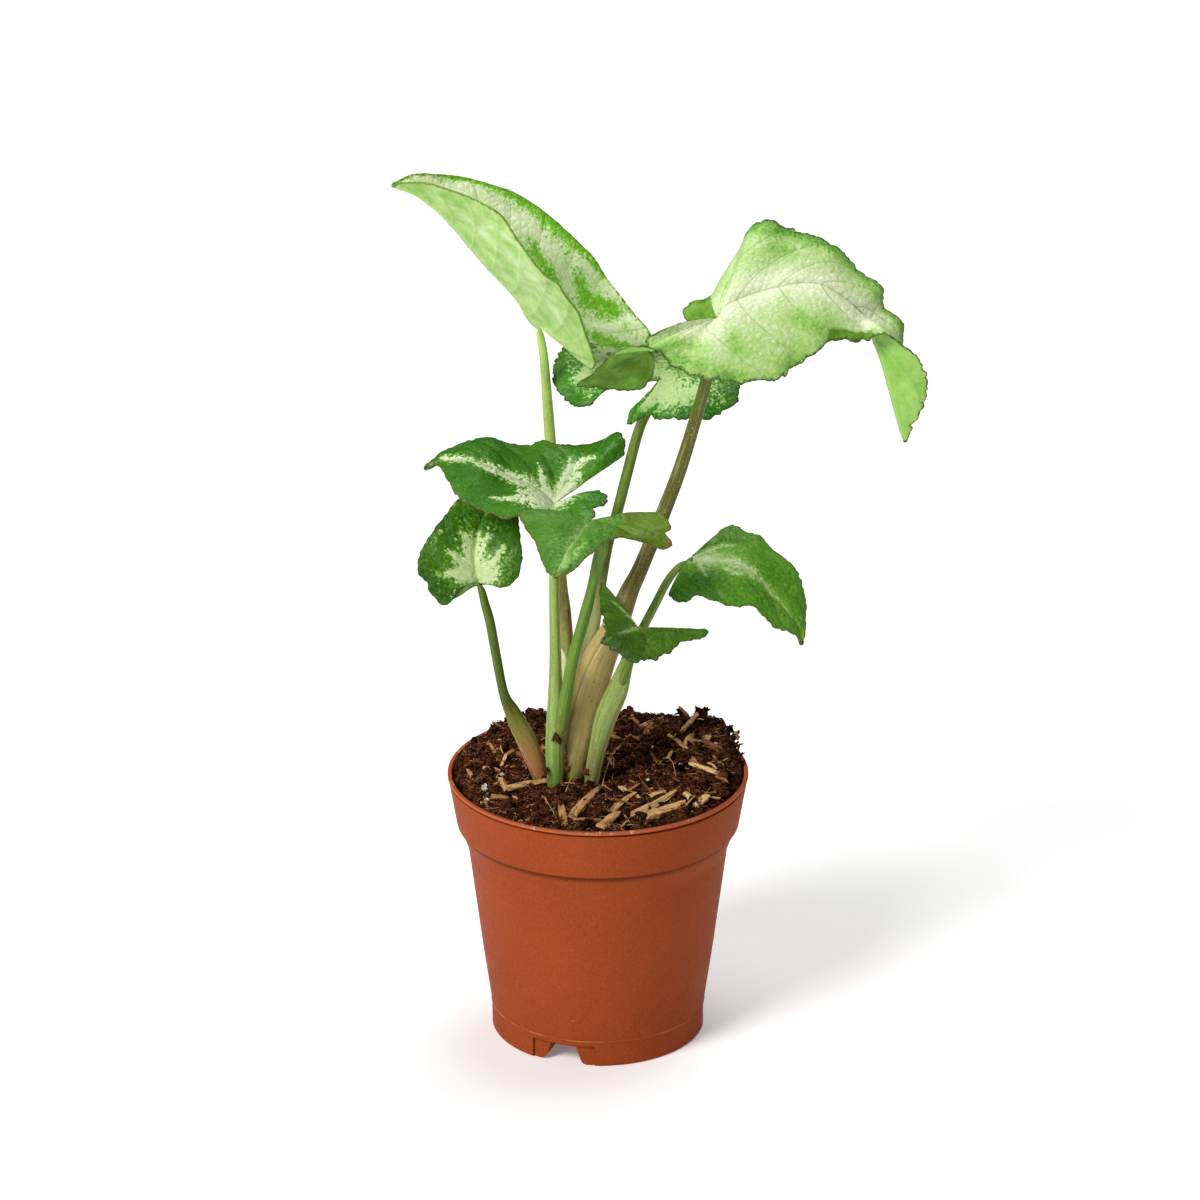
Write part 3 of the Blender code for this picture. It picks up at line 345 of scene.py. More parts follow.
# Larger chips of wood and bark on the soil: both ends as read off the picture, then width and thickness.
CHIPS = [
    (680, 735, 697, 716, 2.2, 1.0), (706, 741, 716, 727, 2.6, 1.2), (669, 737, 687, 752, 1.4, 0.9),
    (684, 751, 697, 765, 1.8, 1.0), (691, 765, 725, 778, 1.6, 0.9), (645, 820, 685, 806, 3.9, 1.9),
    (633, 815, 672, 794, 2.4, 1.3), (683, 795, 697, 808, 2.0, 1.1), (700, 804, 707, 797, 2.2, 1.1),
    (600, 829, 619, 815, 3.0, 1.4), (610, 815, 633, 796, 2.2, 1.1), (622, 790, 640, 799, 1.6, 0.9),
    (508, 790, 548, 783, 2.8, 1.5), (483, 772, 499, 772, 1.8, 1.0), (501, 768, 506, 756, 1.0, 0.7),
    (505, 757, 514, 751, 1.3, 0.8), (573, 818, 600, 789, 2.9, 1.4), (561, 808, 564, 827, 2.1, 1.2),
    (735, 734, 738, 747, 2.0, 1.0), (491, 798, 508, 800, 2.0, 1.1), (575, 821, 601, 822, 0.9, 0.6),
    (651, 798, 664, 793, 1.7, 0.9), (499, 777, 507, 792, 1.7, 0.9), (488, 795, 487, 808, 1.0, 0.7),
    (666, 764, 672, 752, 1.2, 0.7), (679, 709, 689, 719, 1.3, 0.8), (696, 722, 713, 727, 1.3, 0.8),
    (690, 742, 708, 744, 1.0, 0.6), (546, 800, 553, 818, 0.8, 0.5), (716, 778, 728, 784, 1.0, 0.6),
]
MORE_CHIPS = 16
CHIP_SEED = 4
CHIP_LIFT = 0.45

# Stems: the node that each stands for, its points, the leaf that it carries or stands by, how far below its
# last point it goes on into the soil, and its colours from the blade down. A wrap is a sheath's edge: where
# it starts and ends along the stem, the turns round the stem at both ends, and how thick the sheath is there.
STEM_PLAN = {
    "tall_left_stalk": {
        "node": "tall_left_stem", "points": TALL_LEFT_STEM, "leaf": "tall_left_leaf", "sink": 6,
        "skin": [(0.0, (172, 204, 106)), (0.25, (154, 184, 86)), (0.48, (136, 156, 64)),
                 (0.6, (164, 148, 86)), (0.74, (150, 158, 80)), (0.9, (124, 152, 60)),
                 (1.0, (140, 116, 80))],
        "light": (196, 214, 140), "dark": (84, 78, 30), "line": (104, 72, 36),
        "wraps": [(0.55, 0.98, 0.90, 0.84, 0.4)],
    },
    "large_right_stalk": {
        "node": "middle_stems", "points": LARGE_RIGHT_STEM, "leaf": "large_right_leaf", "sink": 6,
        "skin": [(0.0, (112, 132, 48)), (0.2, (80, 94, 28)), (0.5, (90, 88, 32)), (0.6, (148, 134, 72)),
                 (0.76, (206, 180, 114)), (0.88, (198, 176, 106)), (0.96, (168, 162, 86)),
                 (1.0, (124, 116, 60))],
        "light": (206, 194, 140), "dark": (108, 78, 42), "line": (214, 190, 142),
        "wraps": [(0.56, 0.99, 0.74, 0.60, 0.5), (0.60, 0.99, 0.93, 0.97, 0.3)],
    },
    "back_stalk": {
        "node": "middle_stems", "points": BACK_STEM, "leaf": "back_leaf", "sink": 2,
        "skin": [(0.0, (104, 130, 46)), (0.4, (98, 116, 38)), (0.55, (112, 124, 52)), (0.68, (176, 178, 118)),
                 (0.9, (178, 172, 116)), (1.0, (140, 120, 70))],
        "light": (160, 172, 94), "dark": (74, 70, 28), "line": (84, 58, 30),
        "wraps": [],
    },
    "middle_left_stalk": {
        "node": "front_stems", "points": MIDDLE_LEFT_STEM, "leaf": "middle_left_leaf", "sink": 6,
        "skin": [(0.0, (122, 150, 60)), (0.3, (152, 174, 84)), (0.7, (158, 186, 100)), (0.86, (124, 172, 74)),
                 (1.0, (104, 138, 54))],
        "light": (196, 212, 140), "dark": (104, 112, 48), "line": (140, 150, 84),
        "wraps": [(0.04, 0.98, 0.60, 0.66, 0.2), (0.04, 0.98, 0.92, 0.88, 0.2)],
    },
    "front_stalk": {
        "node": "front_stems", "points": FRONT_STEM, "leaf": "front_leaf", "sink": 3,
        "skin": [(0.0, (94, 128, 42)), (0.5, (90, 126, 40)), (0.85, (106, 138, 52)), (1.0, (134, 130, 64))],
        "light": (140, 174, 78), "dark": (60, 96, 28), "line": (96, 74, 36),
        "wraps": [],
    },
    "lower_left_stalk": {
        "node": "lower_left_stem", "points": LOWER_LEFT_STEM, "leaf": "lower_left_leaf", "sink": 6,
        "skin": [(0.0, (82, 106, 24)), (0.5, (70, 86, 16)), (0.58, (108, 114, 38)), (0.66, (152, 140, 70)),
                 (0.8, (198, 132, 86)), (1.0, (186, 112, 80))],
        "light": (150, 144, 84), "dark": (62, 56, 22), "line": (210, 186, 140),
        "wraps": [(0.56, 0.99, 0.56, 0.74, 0.45)],
    },
    "right_stalk": {
        "node": "right_stems", "points": RIGHT_STEM, "leaf": "right_leaf", "sink": 6,
        "skin": [(0.0, (112, 146, 54)), (0.35, (118, 140, 60)), (0.6, (144, 166, 88)), (0.85, (138, 154, 84)),
                 (1.0, (128, 106, 66))],
        "light": (204, 212, 154), "dark": (120, 118, 58), "line": (150, 124, 76),
        "wraps": [(0.48, 0.99, 0.60, 0.70, 0.45), (0.52, 0.99, 0.90, 0.86, 0.3)],
    },
    "sheath_tip": {
        "node": "front_stems", "points": SHEATH_TIP, "leaf": "middle_left_leaf", "sink": 0,
        "skin": [(0.0, (222, 214, 178)), (0.3, (196, 208, 144)), (0.6, (158, 190, 104)),
                 (1.0, (128, 174, 78))],
        "light": (226, 226, 190), "dark": (150, 158, 92), "line": (214, 206, 164),
        "wraps": [(0.0, 0.9, 0.62, 0.62, 0.1)],
    },
    "small_stalk": {
        "node": "right_stems", "points": SMALL_STEM, "leaf": "small_leaf", "sink": 2,
        "skin": [(0.0, (88, 118, 42)), (1.0, (108, 128, 54))],
        "light": (142, 162, 82), "dark": (60, 68, 26), "line": (90, 64, 36),
        "wraps": [],
    },
}

# Soil: crumbs, threads and splinters are spread over it by one seeded draw.
SOIL_SEED = 11
CRUMBS = 3400
CRUMB_SIZES = (0.3, 0.4, 0.5, 0.6, 0.8, 1.1, 1.4)
CLODS = 150
FIBRES = 5200
FIBRE_LENGTHS = (0.8, 1.0, 1.3, 1.7, 2.3, 3.4)
FIBRE_POINTS = 5
LOOP_POINTS = 22
SMALL_CHIPS = 170
CHIP_SECTIONS = 12
# Ragged clumps against the light at the back, and soil that clings to a stalk: across, down, how far behind,
# and size in millimetres.
SKYLINE = [(652, 718, 26, 1.5), (658, 717, 26, 1.4), (664, 721, 26, 1.0), (680, 712, 26, 1.6),
           (684, 716, 26, 1.3), (700, 719, 24, 1.5), (708, 719, 24, 1.4), (715, 720, 22, 1.4),
           (722, 725, 20, 1.5), (729, 731, 17, 1.6), (734, 738, 14, 1.5), (737, 746, 10, 1.5),
           (739, 754, 6, 1.4), (741, 763, 3, 1.3), (727, 738, 16, 1.6), (732, 746, 11, 1.6),
           (735, 756, 6, 1.5), (520, 715, 23, 1.5), (507, 720, 22, 1.3), (534, 715, 24, 1.3),
           (496, 729, 19, 1.5), (482, 742, 14, 1.3), (470, 753, 9, 1.2)]
CLINGING = [(556, 737, -12.8, 0.7), (559, 741, -12.8, 0.6), (553, 740, -12.6, 0.4), (565, 753, -12.6, 0.4),
            (566, 761, -12.6, 0.5), (568, 769, -12.4, 0.7), (546, 770, -12.4, 0.7), (586, 772, -11.5, 0.7)]

# Threads that stand in loops: points across and down the picture, and how high they are above the soil.
LOOPS = [
    [(602, 789, 0.2), (606, 776, 1.6), (613, 766, 2.6), (613, 780, 1.8), (609, 791, 0.2)],
    [(541, 796, 0.2), (546, 806, 1.6), (552, 817, 2.0), (560, 827, 0.3)],
    [(520, 768, 0.2), (530, 760, 1.8), (541, 758, 2.0), (548, 764, 0.3)],
    [(655, 772, 0.2), (664, 764, 1.6), (672, 768, 1.8), (676, 778, 0.3)],
    [(566, 792, 0.2), (572, 782, 1.2), (582, 778, 1.4), (588, 786, 0.3)],
]

# White grit: across, down and radius in millimetres.
PERLITE = [(484, 790, 0.9), (487, 802, 0.6), (502, 777, 0.6), (738, 756, 0.6), (716, 746, 0.5),
           (648, 782, 0.4)]

# How each blade looks. Lengths are millimetres, and colours are red, green and blue from 0 to 255.
# base, heart, rib and vein say how pale the surface is all over, round the stem's end, along the middle rib
# and along the side veins: how much, how wide, and how far from the rib the pale veins run. mottle is how
# uneven that is, and steps are where dark, mid and pale begin.
# band is the width of the greener margin, and how strong it is on the near and on the far half. rim is the
# width of the coloured edge. lines are how plain the side veins and the rib are, and net the fine veins.
# veins is the number of side veins on a half, lobe_veins the number in its lobe, and sweep how many gaps
# between veins they lean towards the tip.
# quilt is how far the surface swells between the veins, groove how far it sinks over the rib, ruffle how
# far the edge waves, teeth how deep it is cut, pucker the depth of the fine net, and gloss the roughness.
# Strokes are drawn over that as in the picture, each a row of across, down and half its width in steps.
# stroke is how strong the pale and the green ones are. sheen_strokes are painted highlights: pale streaks of
# sheen on the underside. scars are dry brown places.
# turned parts have the colours of the underside and of fold_shade, a darker green that is in part painted
# shade: face, half, first and last edge point, and the share of the cross line from the margin.
# fold_strokes add to them. tip_tint colours the tip, from the share tip_start of the rib on.
COMMON_LOOK = {
    "base": 0.0, "steps": (0.12, 0.34, 0.48), "rim": 0.5, "net": 0.22,
    "veins": 5, "lobe_veins": 2.2, "sweep": 1.5, "quilt": 0.3, "groove": 0.3, "pucker": 0.09, "gloss": 0.3,
    "stroke": 0.55, "green_strokes": [], "sheen_strokes": [], "fold_strokes": [], "scars": [], "turned": [],
    "tip_tint": (90, 84, 36), "tip_start": 0.96,
}
LEAF_LOOKS = {
    "tall_left_leaf": {
        "dark": (98, 182, 24), "mid": (154, 214, 72), "pale": (244, 252, 214), "line": (190, 214, 144),
        "under": (134, 182, 76), "under_pale": (186, 214, 136), "edge": (112, 110, 44),
        "fold_shade": (110, 156, 60), "base": 0.42, "heart": (0.10, 9), "rib": (0.25, 6), "vein": (0.06, 1.5, 9),
        "mottle": 0.62, "band": (0.8, 0.2, 0.3), "veins": 7, "lobe_veins": 2.4, "quilt": 0.25,
        "groove": 0.5, "ruffle": 0.25, "teeth": 0.12, "gloss": 0.36, "lines": (0.12, 0.3),
        "steps": (0.04, 0.34, 0.57), "stroke": 0.40, "net": 0.36,
        "pale_strokes": [
            [(413, 177, 3), (463, 189, 6), (490, 203, 8), (515, 222, 9), (540, 240, 10), (558, 262, 10),
             (568, 288, 6)],
            [(572, 252, 5), (596, 276, 8), (620, 300, 7), (642, 334, 8)],
            [(590, 322, 5), (612, 330, 6), (636, 342, 6)],
        ],
        "green_strokes": [
            [(440, 174, 3), (475, 178, 3.5), (505, 190, 5), (540, 212, 6), (560, 228, 8), (584, 254, 6),
             (602, 276, 4)],
            [(528, 238, 3), (536, 250, 5), (546, 266, 5), (556, 284, 4)],
            [(578, 282, 4), (590, 302, 7), (606, 304, 7), (614, 312, 5)],
            [(596, 336, 3), (614, 342, 5), (630, 346, 3)],
        ],
        # Painted highlights: pale streaks of sheen on the near half's underside.
        "sheen_strokes": [
            [(450, 205, 2), (474, 224, 3), (500, 246, 4), (522, 264, 6), (538, 282, 6), (556, 308, 5),
             (568, 334, 3)],
            [(490, 226, 2), (520, 246, 3), (536, 262, 2)],
        ],
    },
    "large_right_leaf": {
        "dark": (88, 152, 46), "mid": (158, 196, 106), "pale": (220, 228, 192), "line": (136, 164, 92),
        "under": (122, 174, 66), "under_pale": (160, 200, 108), "edge": (54, 52, 20), "fold_shade": (78, 114, 14),
        "base": 0.42, "heart": (0.12, 10), "rib": (0.22, 5), "vein": (0.05, 1.8, 30), "mottle": 0.26,
        "band": (1.5, 0.10, 0.75), "veins": 7, "lobe_veins": 2.6, "sweep": 1.7, "quilt": 0.12,
        "groove": 0.4, "ruffle": 0.5, "teeth": 0.95, "gloss": 0.42, "lines": (0.5, 0.5), "rim": 1.1,
        "pucker": 0.1,
        # These parts lie folded in shade and take the fold_shade colours: painted shade in part.
        "turned": [("top", "far", -1, 5.8, 1.1), ("under", "far", -1, 5.8, 1.1),
                   ("top", "near", 20.7, 23.4, 0.22), ("under", "near", -1, 11.5, 1.1)],
        "steps": (0.02, 0.34, 0.74), "stroke": 0.32, "net": 0.45,
        "pale_strokes": [
            [(717, 314, 9), (745, 292, 13), (785, 282, 12), (830, 290, 12), (866, 322, 9)],
            [(690, 332, 9), (712, 326, 9)],
        ],
        "green_strokes": [
            [(754, 230, 6), (790, 234, 6), (826, 247, 5), (858, 272, 5), (884, 303, 4)],
            [(772, 248, 6), (790, 252, 6)],
            [(733, 340, 7), (738, 350, 7)],
            [(800, 318, 9), (822, 330, 9)],
            [(784, 366, 9), (800, 356, 8)],
            [(676, 356, 8), (700, 366, 8)],
            [(650, 352, 4), (668, 362, 4)],
            [(656, 349, 6), (676, 344, 7), (696, 346, 8)],
            [(716, 372, 7), (744, 378, 7)],
        ],
    },
    "back_leaf": {
        "dark": (46, 102, 20), "mid": (98, 160, 50), "pale": (186, 202, 142), "line": (142, 180, 98),
        "under": (96, 140, 60), "under_pale": (140, 178, 96), "edge": (60, 60, 26), "fold_shade": (90, 130, 50),
        "base": 0.13, "heart": (0.3, 9), "rib": (0.1, 2.4), "vein": (0.12, 1.2, 16), "mottle": 0.72,
        "band": (1.6, 0.3, 0.25), "lobe_veins": 2.6, "sweep": 1.4, "ruffle": 0.5, "teeth": 0.85,
        "gloss": 0.36, "lines": (0.15, 0.2),
        "pale_strokes": [
            [(661, 384, 11), (668, 396, 12), (684, 396, 10), (696, 392, 6)],
            [(655, 392, 8), (646, 404, 6), (638, 410, 4)],
            [(604, 362, 8), (592, 372, 7), (578, 380, 5)],
            [(598, 356, 6), (612, 350, 6)],
        ],
        "green_strokes": [
            [(690, 414, 4), (708, 408, 4)],
            [(556, 362, 6), (560, 388, 7), (580, 402, 5)],
            [(650, 388, 3.5), (640, 402, 4), (632, 414, 4), (629, 426, 4)],
            [(632, 424, 4), (650, 420, 3), (690, 420, 3)],
        ],
    },
    "middle_left_leaf": {
        "dark": (46, 104, 16), "mid": (94, 152, 40), "pale": (228, 237, 196), "line": (110, 158, 70),
        "under": (84, 132, 50), "under_pale": (120, 160, 80), "edge": (92, 74, 38), "fold_shade": (84, 124, 44),
        "heart": (0.25, 4), "rib": (0.08, 1.6), "vein": (0.05, 1.0, 11), "mottle": 0.46,
        "band": (1.4, 0.3, 0.3), "groove": 0.35, "ruffle": 0.4, "teeth": 0.7, "rim": 0.6,
        "lines": (0.1, 0.2),
        "pale_strokes": [
            [(552, 503, 10), (537, 492, 11), (523, 484, 10), (504, 475, 8.5), (486, 468, 7), (467, 460, 6),
             (443, 458, 3.4)],
            [(556, 502, 9), (561, 488, 9), (567, 476, 8), (574, 467, 6), (584, 461, 4), (596, 457, 2)],
            [(564, 494, 9), (571, 485, 9), (577, 477, 7)],
            [(570, 468, 4), (570, 458, 2.2)],
            [(550, 500, 7), (545, 486, 5.5), (541, 474, 3), (538, 464, 1.2)],
            [(553, 503, 8), (535, 500, 7), (520, 499, 5.5), (507, 499, 3.5), (488, 498, 1.5)],
            [(540, 497, 8), (526, 492, 5), (517, 491, 2.5)],
            [(549, 506, 5), (534, 507, 3)],
        ],
        "green_strokes": [[(470, 474, 8), (498, 487, 7)], [(508, 458, 7), (526, 464, 5)]],
    },
    "front_leaf": {
        "dark": (64, 116, 32), "mid": (102, 150, 58), "pale": (178, 202, 138), "line": (122, 162, 82),
        "under": (98, 132, 36), "under_pale": (118, 148, 52), "edge": (108, 86, 40), "fold_shade": (84, 108, 20),
        "base": 0.02, "heart": (0.10, 5), "rib": (0.10, 1.5), "vein": (0.10, 0.9, 8), "mottle": 0.42,
        "band": (1.2, 0.2, 0.2), "ruffle": 0.35, "teeth": 0.3, "gloss": 0.33, "lines": (0.1, 0.15),
        # The flaps folded down at the right take the fold_shade colours: painted shade in part.
        "fold_strokes": [[(630, 515, 7), (618, 540, 7)], [(640, 516, 10), (630, 545, 10)],
                         [(654, 515, 13), (650, 548, 13)], [(668, 520, 12), (672, 545, 12)]],
        "scars": [[(668, 528, 1.4), (670, 535, 1.8), (669, 542, 2.2), (666, 549, 1.8)]],
        "steps": (0.0, 0.34, 0.75), "stroke": 0.4, "tip_tint": (176, 136, 50), "tip_start": 0.92,
        "pale_strokes": [
            [(587, 522, 4), (577, 533, 4.5), (569, 547, 4), (564, 560, 2.5)],
            [(584, 544, 4), (574, 556, 5), (562, 566, 5)],
        ],
        "green_strokes": [[(530, 520, 5), (542, 545, 5), (550, 560, 4)]],
    },
    "lower_left_leaf": {
        "dark": (38, 82, 12), "mid": (102, 152, 42), "pale": (212, 227, 172), "line": (84, 122, 50),
        "under": (84, 128, 50), "under_pale": (120, 158, 80), "edge": (50, 56, 22), "fold_shade": (84, 120, 44),
        "heart": (0.3, 6), "rib": (0.1, 3), "vein": (0.04, 1.1, 9), "mottle": 0.5, "band": (1.4, 0.3, 0.3),
        "veins": 4, "lobe_veins": 2.3, "sweep": 1.3, "quilt": 0.25, "groove": 0.35, "ruffle": 0.3,
        "teeth": 0.32, "gloss": 0.33, "lines": (0.05, 0.4),
        "pale_strokes": [
            [(476, 576, 11), (473, 560, 12), (469, 546, 9), (465, 536, 5), (459, 533, 2)],
            [(478, 560, 9), (484, 545, 5), (488, 534, 3)],
            [(475, 562, 9), (477, 548, 7), (479, 536, 4)],
            [(484, 570, 9), (494, 562, 5), (503, 548, 3)],
            [(482, 576, 8), (492, 576, 5), (497, 568, 3)],
            [(468, 564, 8), (455, 558, 5), (447, 550, 2.5)],
            [(468, 570, 7), (454, 573, 4.5), (438, 575, 3)],
            [(470, 574, 6), (460, 580, 3)],
            [(440, 532, 2.5), (430, 545, 1.5)],
            [(450, 510, 3), (455, 503, 3)],
        ],
    },
    "right_leaf": {
        "dark": (68, 129, 28), "mid": (124, 173, 60), "pale": (212, 228, 178), "line": (112, 168, 70),
        "under": (94, 144, 54), "under_pale": (130, 170, 86), "edge": (84, 100, 34), "fold_shade": (94, 134, 48),
        "heart": (0.15, 5), "rib": (0.05, 1.5), "vein": (0.04, 0.9, 8), "mottle": 0.42,
        "band": (1.2, 0.25, 0.25), "quilt": 0.25, "groove": 0.4, "ruffle": 0.3, "teeth": 0.6,
        "lines": (0.08, 0.15), "steps": (0.0, 0.34, 0.66), "stroke": 0.62, "tip_tint": (172, 180, 44),
        "tip_start": 0.84,
        "pale_strokes": [
            [(692, 558, 6), (706, 559, 8), (722, 560, 9), (738, 563, 8), (750, 570, 6), (761, 581, 4),
             (772, 594, 3), (784, 606, 1.6), (792, 618, 1)],
            [(708, 552, 4), (722, 546, 3), (734, 546, 1.5)],
            [(724, 568, 3), (734, 574, 2.5), (744, 574, 2)],
            [(700, 566, 3), (706, 576, 2)],
        ],
    },
    "small_leaf": {
        "dark": (70, 112, 25), "mid": (104, 150, 48), "pale": (188, 214, 136), "line": (92, 142, 62),
        "under": (84, 130, 48), "under_pale": (120, 160, 78), "edge": (56, 60, 28), "fold_shade": (80, 116, 44),
        "heart": (0.1, 3.4), "rib": (0.06, 1.0), "vein": (0.04, 0.8, 5), "mottle": 0.4,
        "band": (1.0, 0.25, 0.25), "veins": 4, "sweep": 1.4, "ruffle": 0.45, "teeth": 0.9,
        "lines": (0.1, 0.15), "steps": (0.06, 0.34, 0.6),
        "pale_strokes": [
            [(638, 628, 3), (630, 630, 4), (620, 633, 2.5)],
            [(634, 622, 2), (624, 612, 1.6), (612, 601, 1.2)],
            [(604, 640, 2), (603, 644, 1.5)],
        ],
    },
}

# Colours of single marks, of the painted sheen of undersides, of dirt on stems, and of painted shade in
# grooves
SCAR_COLOUR = (136, 92, 60)
PAINTED_SHEEN = (216, 230, 184)
STEM_SPECK = (84, 56, 26)
STEM_DIRT = (72, 46, 24)
PAINTED_GROOVE_SHADE = (72, 26, 8)

# The line of sight: across, up and ahead in the picture, and the eye's place in millimetres
RIGHT = np.array((1.0, 0.0, 0.0))
UP = np.array((0.0, math.sin(SIGHT_TILT), math.cos(SIGHT_TILT)))
FORWARD = np.array((0.0, math.cos(SIGHT_TILT), -math.sin(SIGHT_TILT)))
EYE = np.array(AIM) - FORWARD * SIGHT_LENGTH


def seen(points):
    """The places in millimetres of points of the picture: across, down, how far behind the pot's axis."""
    across, down, behind = np.asarray(points, float).T[:3]
    ray = np.outer(np.ones_like(across), FORWARD) * SIGHT_LENGTH
    ray += np.outer(across - PICTURE_MIDDLE, RIGHT) * STEP_SIZE
    ray += np.outer(PICTURE_MIDDLE - down, UP) * STEP_SIZE
    return EYE + ray * ((behind - EYE[1]) / ray[:, 1])[:, None]


def pictured(places):
    """Where places in millimetres show in the picture, across and down."""
    ray = places - EYE
    scale = SIGHT_LENGTH / STEP_SIZE / (ray @ FORWARD)
    return PICTURE_MIDDLE + ray @ RIGHT * scale, PICTURE_MIDDLE - ray @ UP * scale


def near_strokes(places, strokes):
    """From 0 to 1, how much each place lies on one of the strokes."""
    across, down = pictured(places)
    found = np.zeros(len(places))
    for stroke in strokes:
        for (x0, y0, width0), (x1, y1, width1) in zip(stroke, stroke[1:]):
            run = (x1 - x0) ** 2 + (y1 - y0) ** 2
            share = np.clip(((across - x0) * (x1 - x0) + (down - y0) * (y1 - y0)) / run, 0, 1)
            off = np.hypot(across - x0 - share * (x1 - x0), down - y0 - share * (y1 - y0))
            width = width0 + share * (width1 - width0)
            found = np.maximum(found, np.exp(-(off / width) ** 1.6))
    return found


def on_curve(points, places):
    """A smooth curve through the points, read at places counted in points."""
    last = len(points) - 1
    places = np.asarray(places, float)
    start = np.clip(places.astype(int), 0, last - 1)
    share = (places - start)[:, None]
    before = points[np.maximum(start - 1, 0)]
    here = points[start]
    there = points[start + 1]
    after = points[np.minimum(start + 2, last)]
    bend_in = (there - before) * 0.5
    bend_out = (after - here) * 0.5
    square = share ** 2
    cube = share ** 3
    return (
        here * (2 * cube - 3 * square + 1)
        + bend_in * (cube - 2 * square + share)
        + there * (3 * square - 2 * cube)
        + bend_out * (cube - square)
    )


def lengths_along(points):
    steps = np.linalg.norm(np.diff(points, axis=0), axis=1)
    return np.concatenate(([0.0], np.cumsum(steps)))


def smooth_step(value, low, high):
    share = np.clip((value - low) / (high - low), 0, 1)
    return share * share * (3 - 2 * share)


def wander(values, scale, seed):
    """Smooth noise from -1 to 1 along a row of lengths."""
    return np.array([noise.noise(Vector((value / scale, seed * 7.3, seed * 1.7))) for value in values])


# Meshes and objects
def link(name, mesh):
    obj = bpy.data.objects.new(name, mesh)
    bpy.context.scene.collection.objects.link(obj)
    return obj


def settle(obj):
    """Applies the modifiers."""
    graph = bpy.context.evaluated_depsgraph_get()
    mesh = bpy.data.meshes.new_from_object(obj.evaluated_get(graph))
    obj.modifiers.clear()
    obj.data = mesh


def shade_smooth(obj):
    obj.data.polygons.foreach_set("use_smooth", [True] * len(obj.data.polygons))


def face_outwards(obj):
    bm = bmesh.new()
    bm.from_mesh(obj.data)
    bmesh.ops.recalc_face_normals(bm, faces=bm.faces[:])
    bm.to_mesh(obj.data)
    bm.free()


def stand_for(obj, node):
    """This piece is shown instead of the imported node."""
    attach(obj, "root")
    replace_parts(obj, node)


def add_numbers(mesh, name, values):
    attribute = mesh.attributes.new(name, "FLOAT", "POINT")
    attribute.data.foreach_set("value", np.asarray(values, np.float32).reshape(-1))


def add_vectors(mesh, name, values):
    attribute = mesh.attributes.new(name, "FLOAT_VECTOR", "POINT")
    attribute.data.foreach_set("vector", np.asarray(values, np.float32).reshape(-1))


def vertex_places(mesh):
    places = np.empty(len(mesh.vertices) * 3)
    mesh.vertices.foreach_get("co", places)
    return places.reshape(-1, 3)


def vertex_normals(mesh):
    normals = np.empty(len(mesh.vertices) * 3)
    mesh.vertex_normals.foreach_get("vector", normals)
    return normals.reshape(-1, 3)


def move_vertices(mesh, places):
    mesh.vertices.foreach_set("co", np.ascontiguousarray(places).reshape(-1))
    mesh.update()


# Blades
def rows_along(leaf):
    """How many rows of points a blade has along its rib, so that its edge is cut finely enough."""
    longest = 0
    for side in ("near", "far"):
        lengths = lengths_along(seen(leaf[side]["edge"]))
        longest = max(longest, lengths[-1] - lengths[leaf[side]["fan"]])
    return int(longest / EDGE_STEP)


def cross_bends(leaf, half, starts, edge):
    """The point that the cross line to each edge point bends through."""
    face = np.array(leaf["face"])
    bends = (starts + edge) / 2
    for index, point in enumerate(edge):
        along = edge[min(index + 1, len(edge) - 1)] - edge[max(index - 1, 0)]
        normal = np.cross(along, point - starts[index])
        length = np.linalg.norm(normal)
        if length > 0:
            normal /= length
        if normal @ face < 0:
            normal = -normal
        width = np.linalg.norm(point - starts[index])
        bends[index] += normal * half["puff"] * min(1, width / FULL_PUFF_WIDTH)
    for index, point in half.get("mids", {}).items():
        bends[index] = seen([point])[0]
    return bends


def toothed(end, bend, lengths, depth, taper, seed):
    """The edge with the gaps between its teeth cut inwards."""
    inward = bend - end
    inward /= np.maximum(np.linalg.norm(inward, axis=2, keepdims=True), 0.01)
    cut = 0.5 + 1.1 * wander(lengths, TOOTH_LENGTH, seed) + 0.6 * wander(lengths, NOTCH_LENGTH, seed + 5)
    return end + inward * (depth * np.clip(cut, 0, 1.3) * taper)[:, None, None]


def cross_lines(start, bend, end, share, crease):
    """Lines from the rib to the edge, bowed through the bend, or folded there where crease is 1."""
    bowed = start * (1 - share) * (1 - 2 * share) + bend * 4 * share * (1 - share)
    bowed = bowed + end * share * (2 * share - 1)
    folded = start + (bend - start) * np.clip(2 * share, 0, 1) + (end - bend) * np.clip(2 * share - 1, 0, 1)
    grid = bowed + (folded - bowed) * crease[:, None, None]
    for _ in range(3):
        grid[:, 1:-1] = (grid[:, :-2] + 2 * grid[:, 1:-1] + grid[:, 2:]) / 4
    return grid


def turned_parts(look, side, places, share):
    """From 0 to 1, how much the upper side and the underside take the fold_shade colours, in part painted
    shade.
    """
    turned = {"top": np.zeros_like(share), "under": np.zeros_like(share)}
    for face, turned_side, first, last, reach in look["turned"]:
        if turned_side == side:
            within = smooth_step(places, first - 0.15, first + 0.15)
            within = within * (1 - smooth_step(places, last - 0.15, last + 0.15))
            near_edge = smooth_step(share, 1 - reach - 0.05, 1 - reach + 0.03)
            turned[face] = np.maximum(turned[face], within[:, None] * near_edge)
    return turned


def row_places(half, look, edge_lengths, rib_rows):
    """Where the rows of a half lie: counted in edge points, as shares of the rib, and along the edge."""
    fan = half["fan"]
    stations = np.linspace(0, 1, rib_rows + 1)
    fan_places = np.arange(fan * FAN_CUTS) / FAN_CUTS
    counted = np.arange(len(edge_lengths))
    main_length = edge_lengths[-1] - edge_lengths[fan]
    main_places = np.interp(edge_lengths[fan] + stations * main_length, edge_lengths, counted)
    places = np.concatenate((fan_places, main_places))
    rows = np.concatenate(((fan_places - fan) / fan * look["lobe_veins"] / look["veins"], stations))
    return places, rows, np.interp(places, counted, edge_lengths)


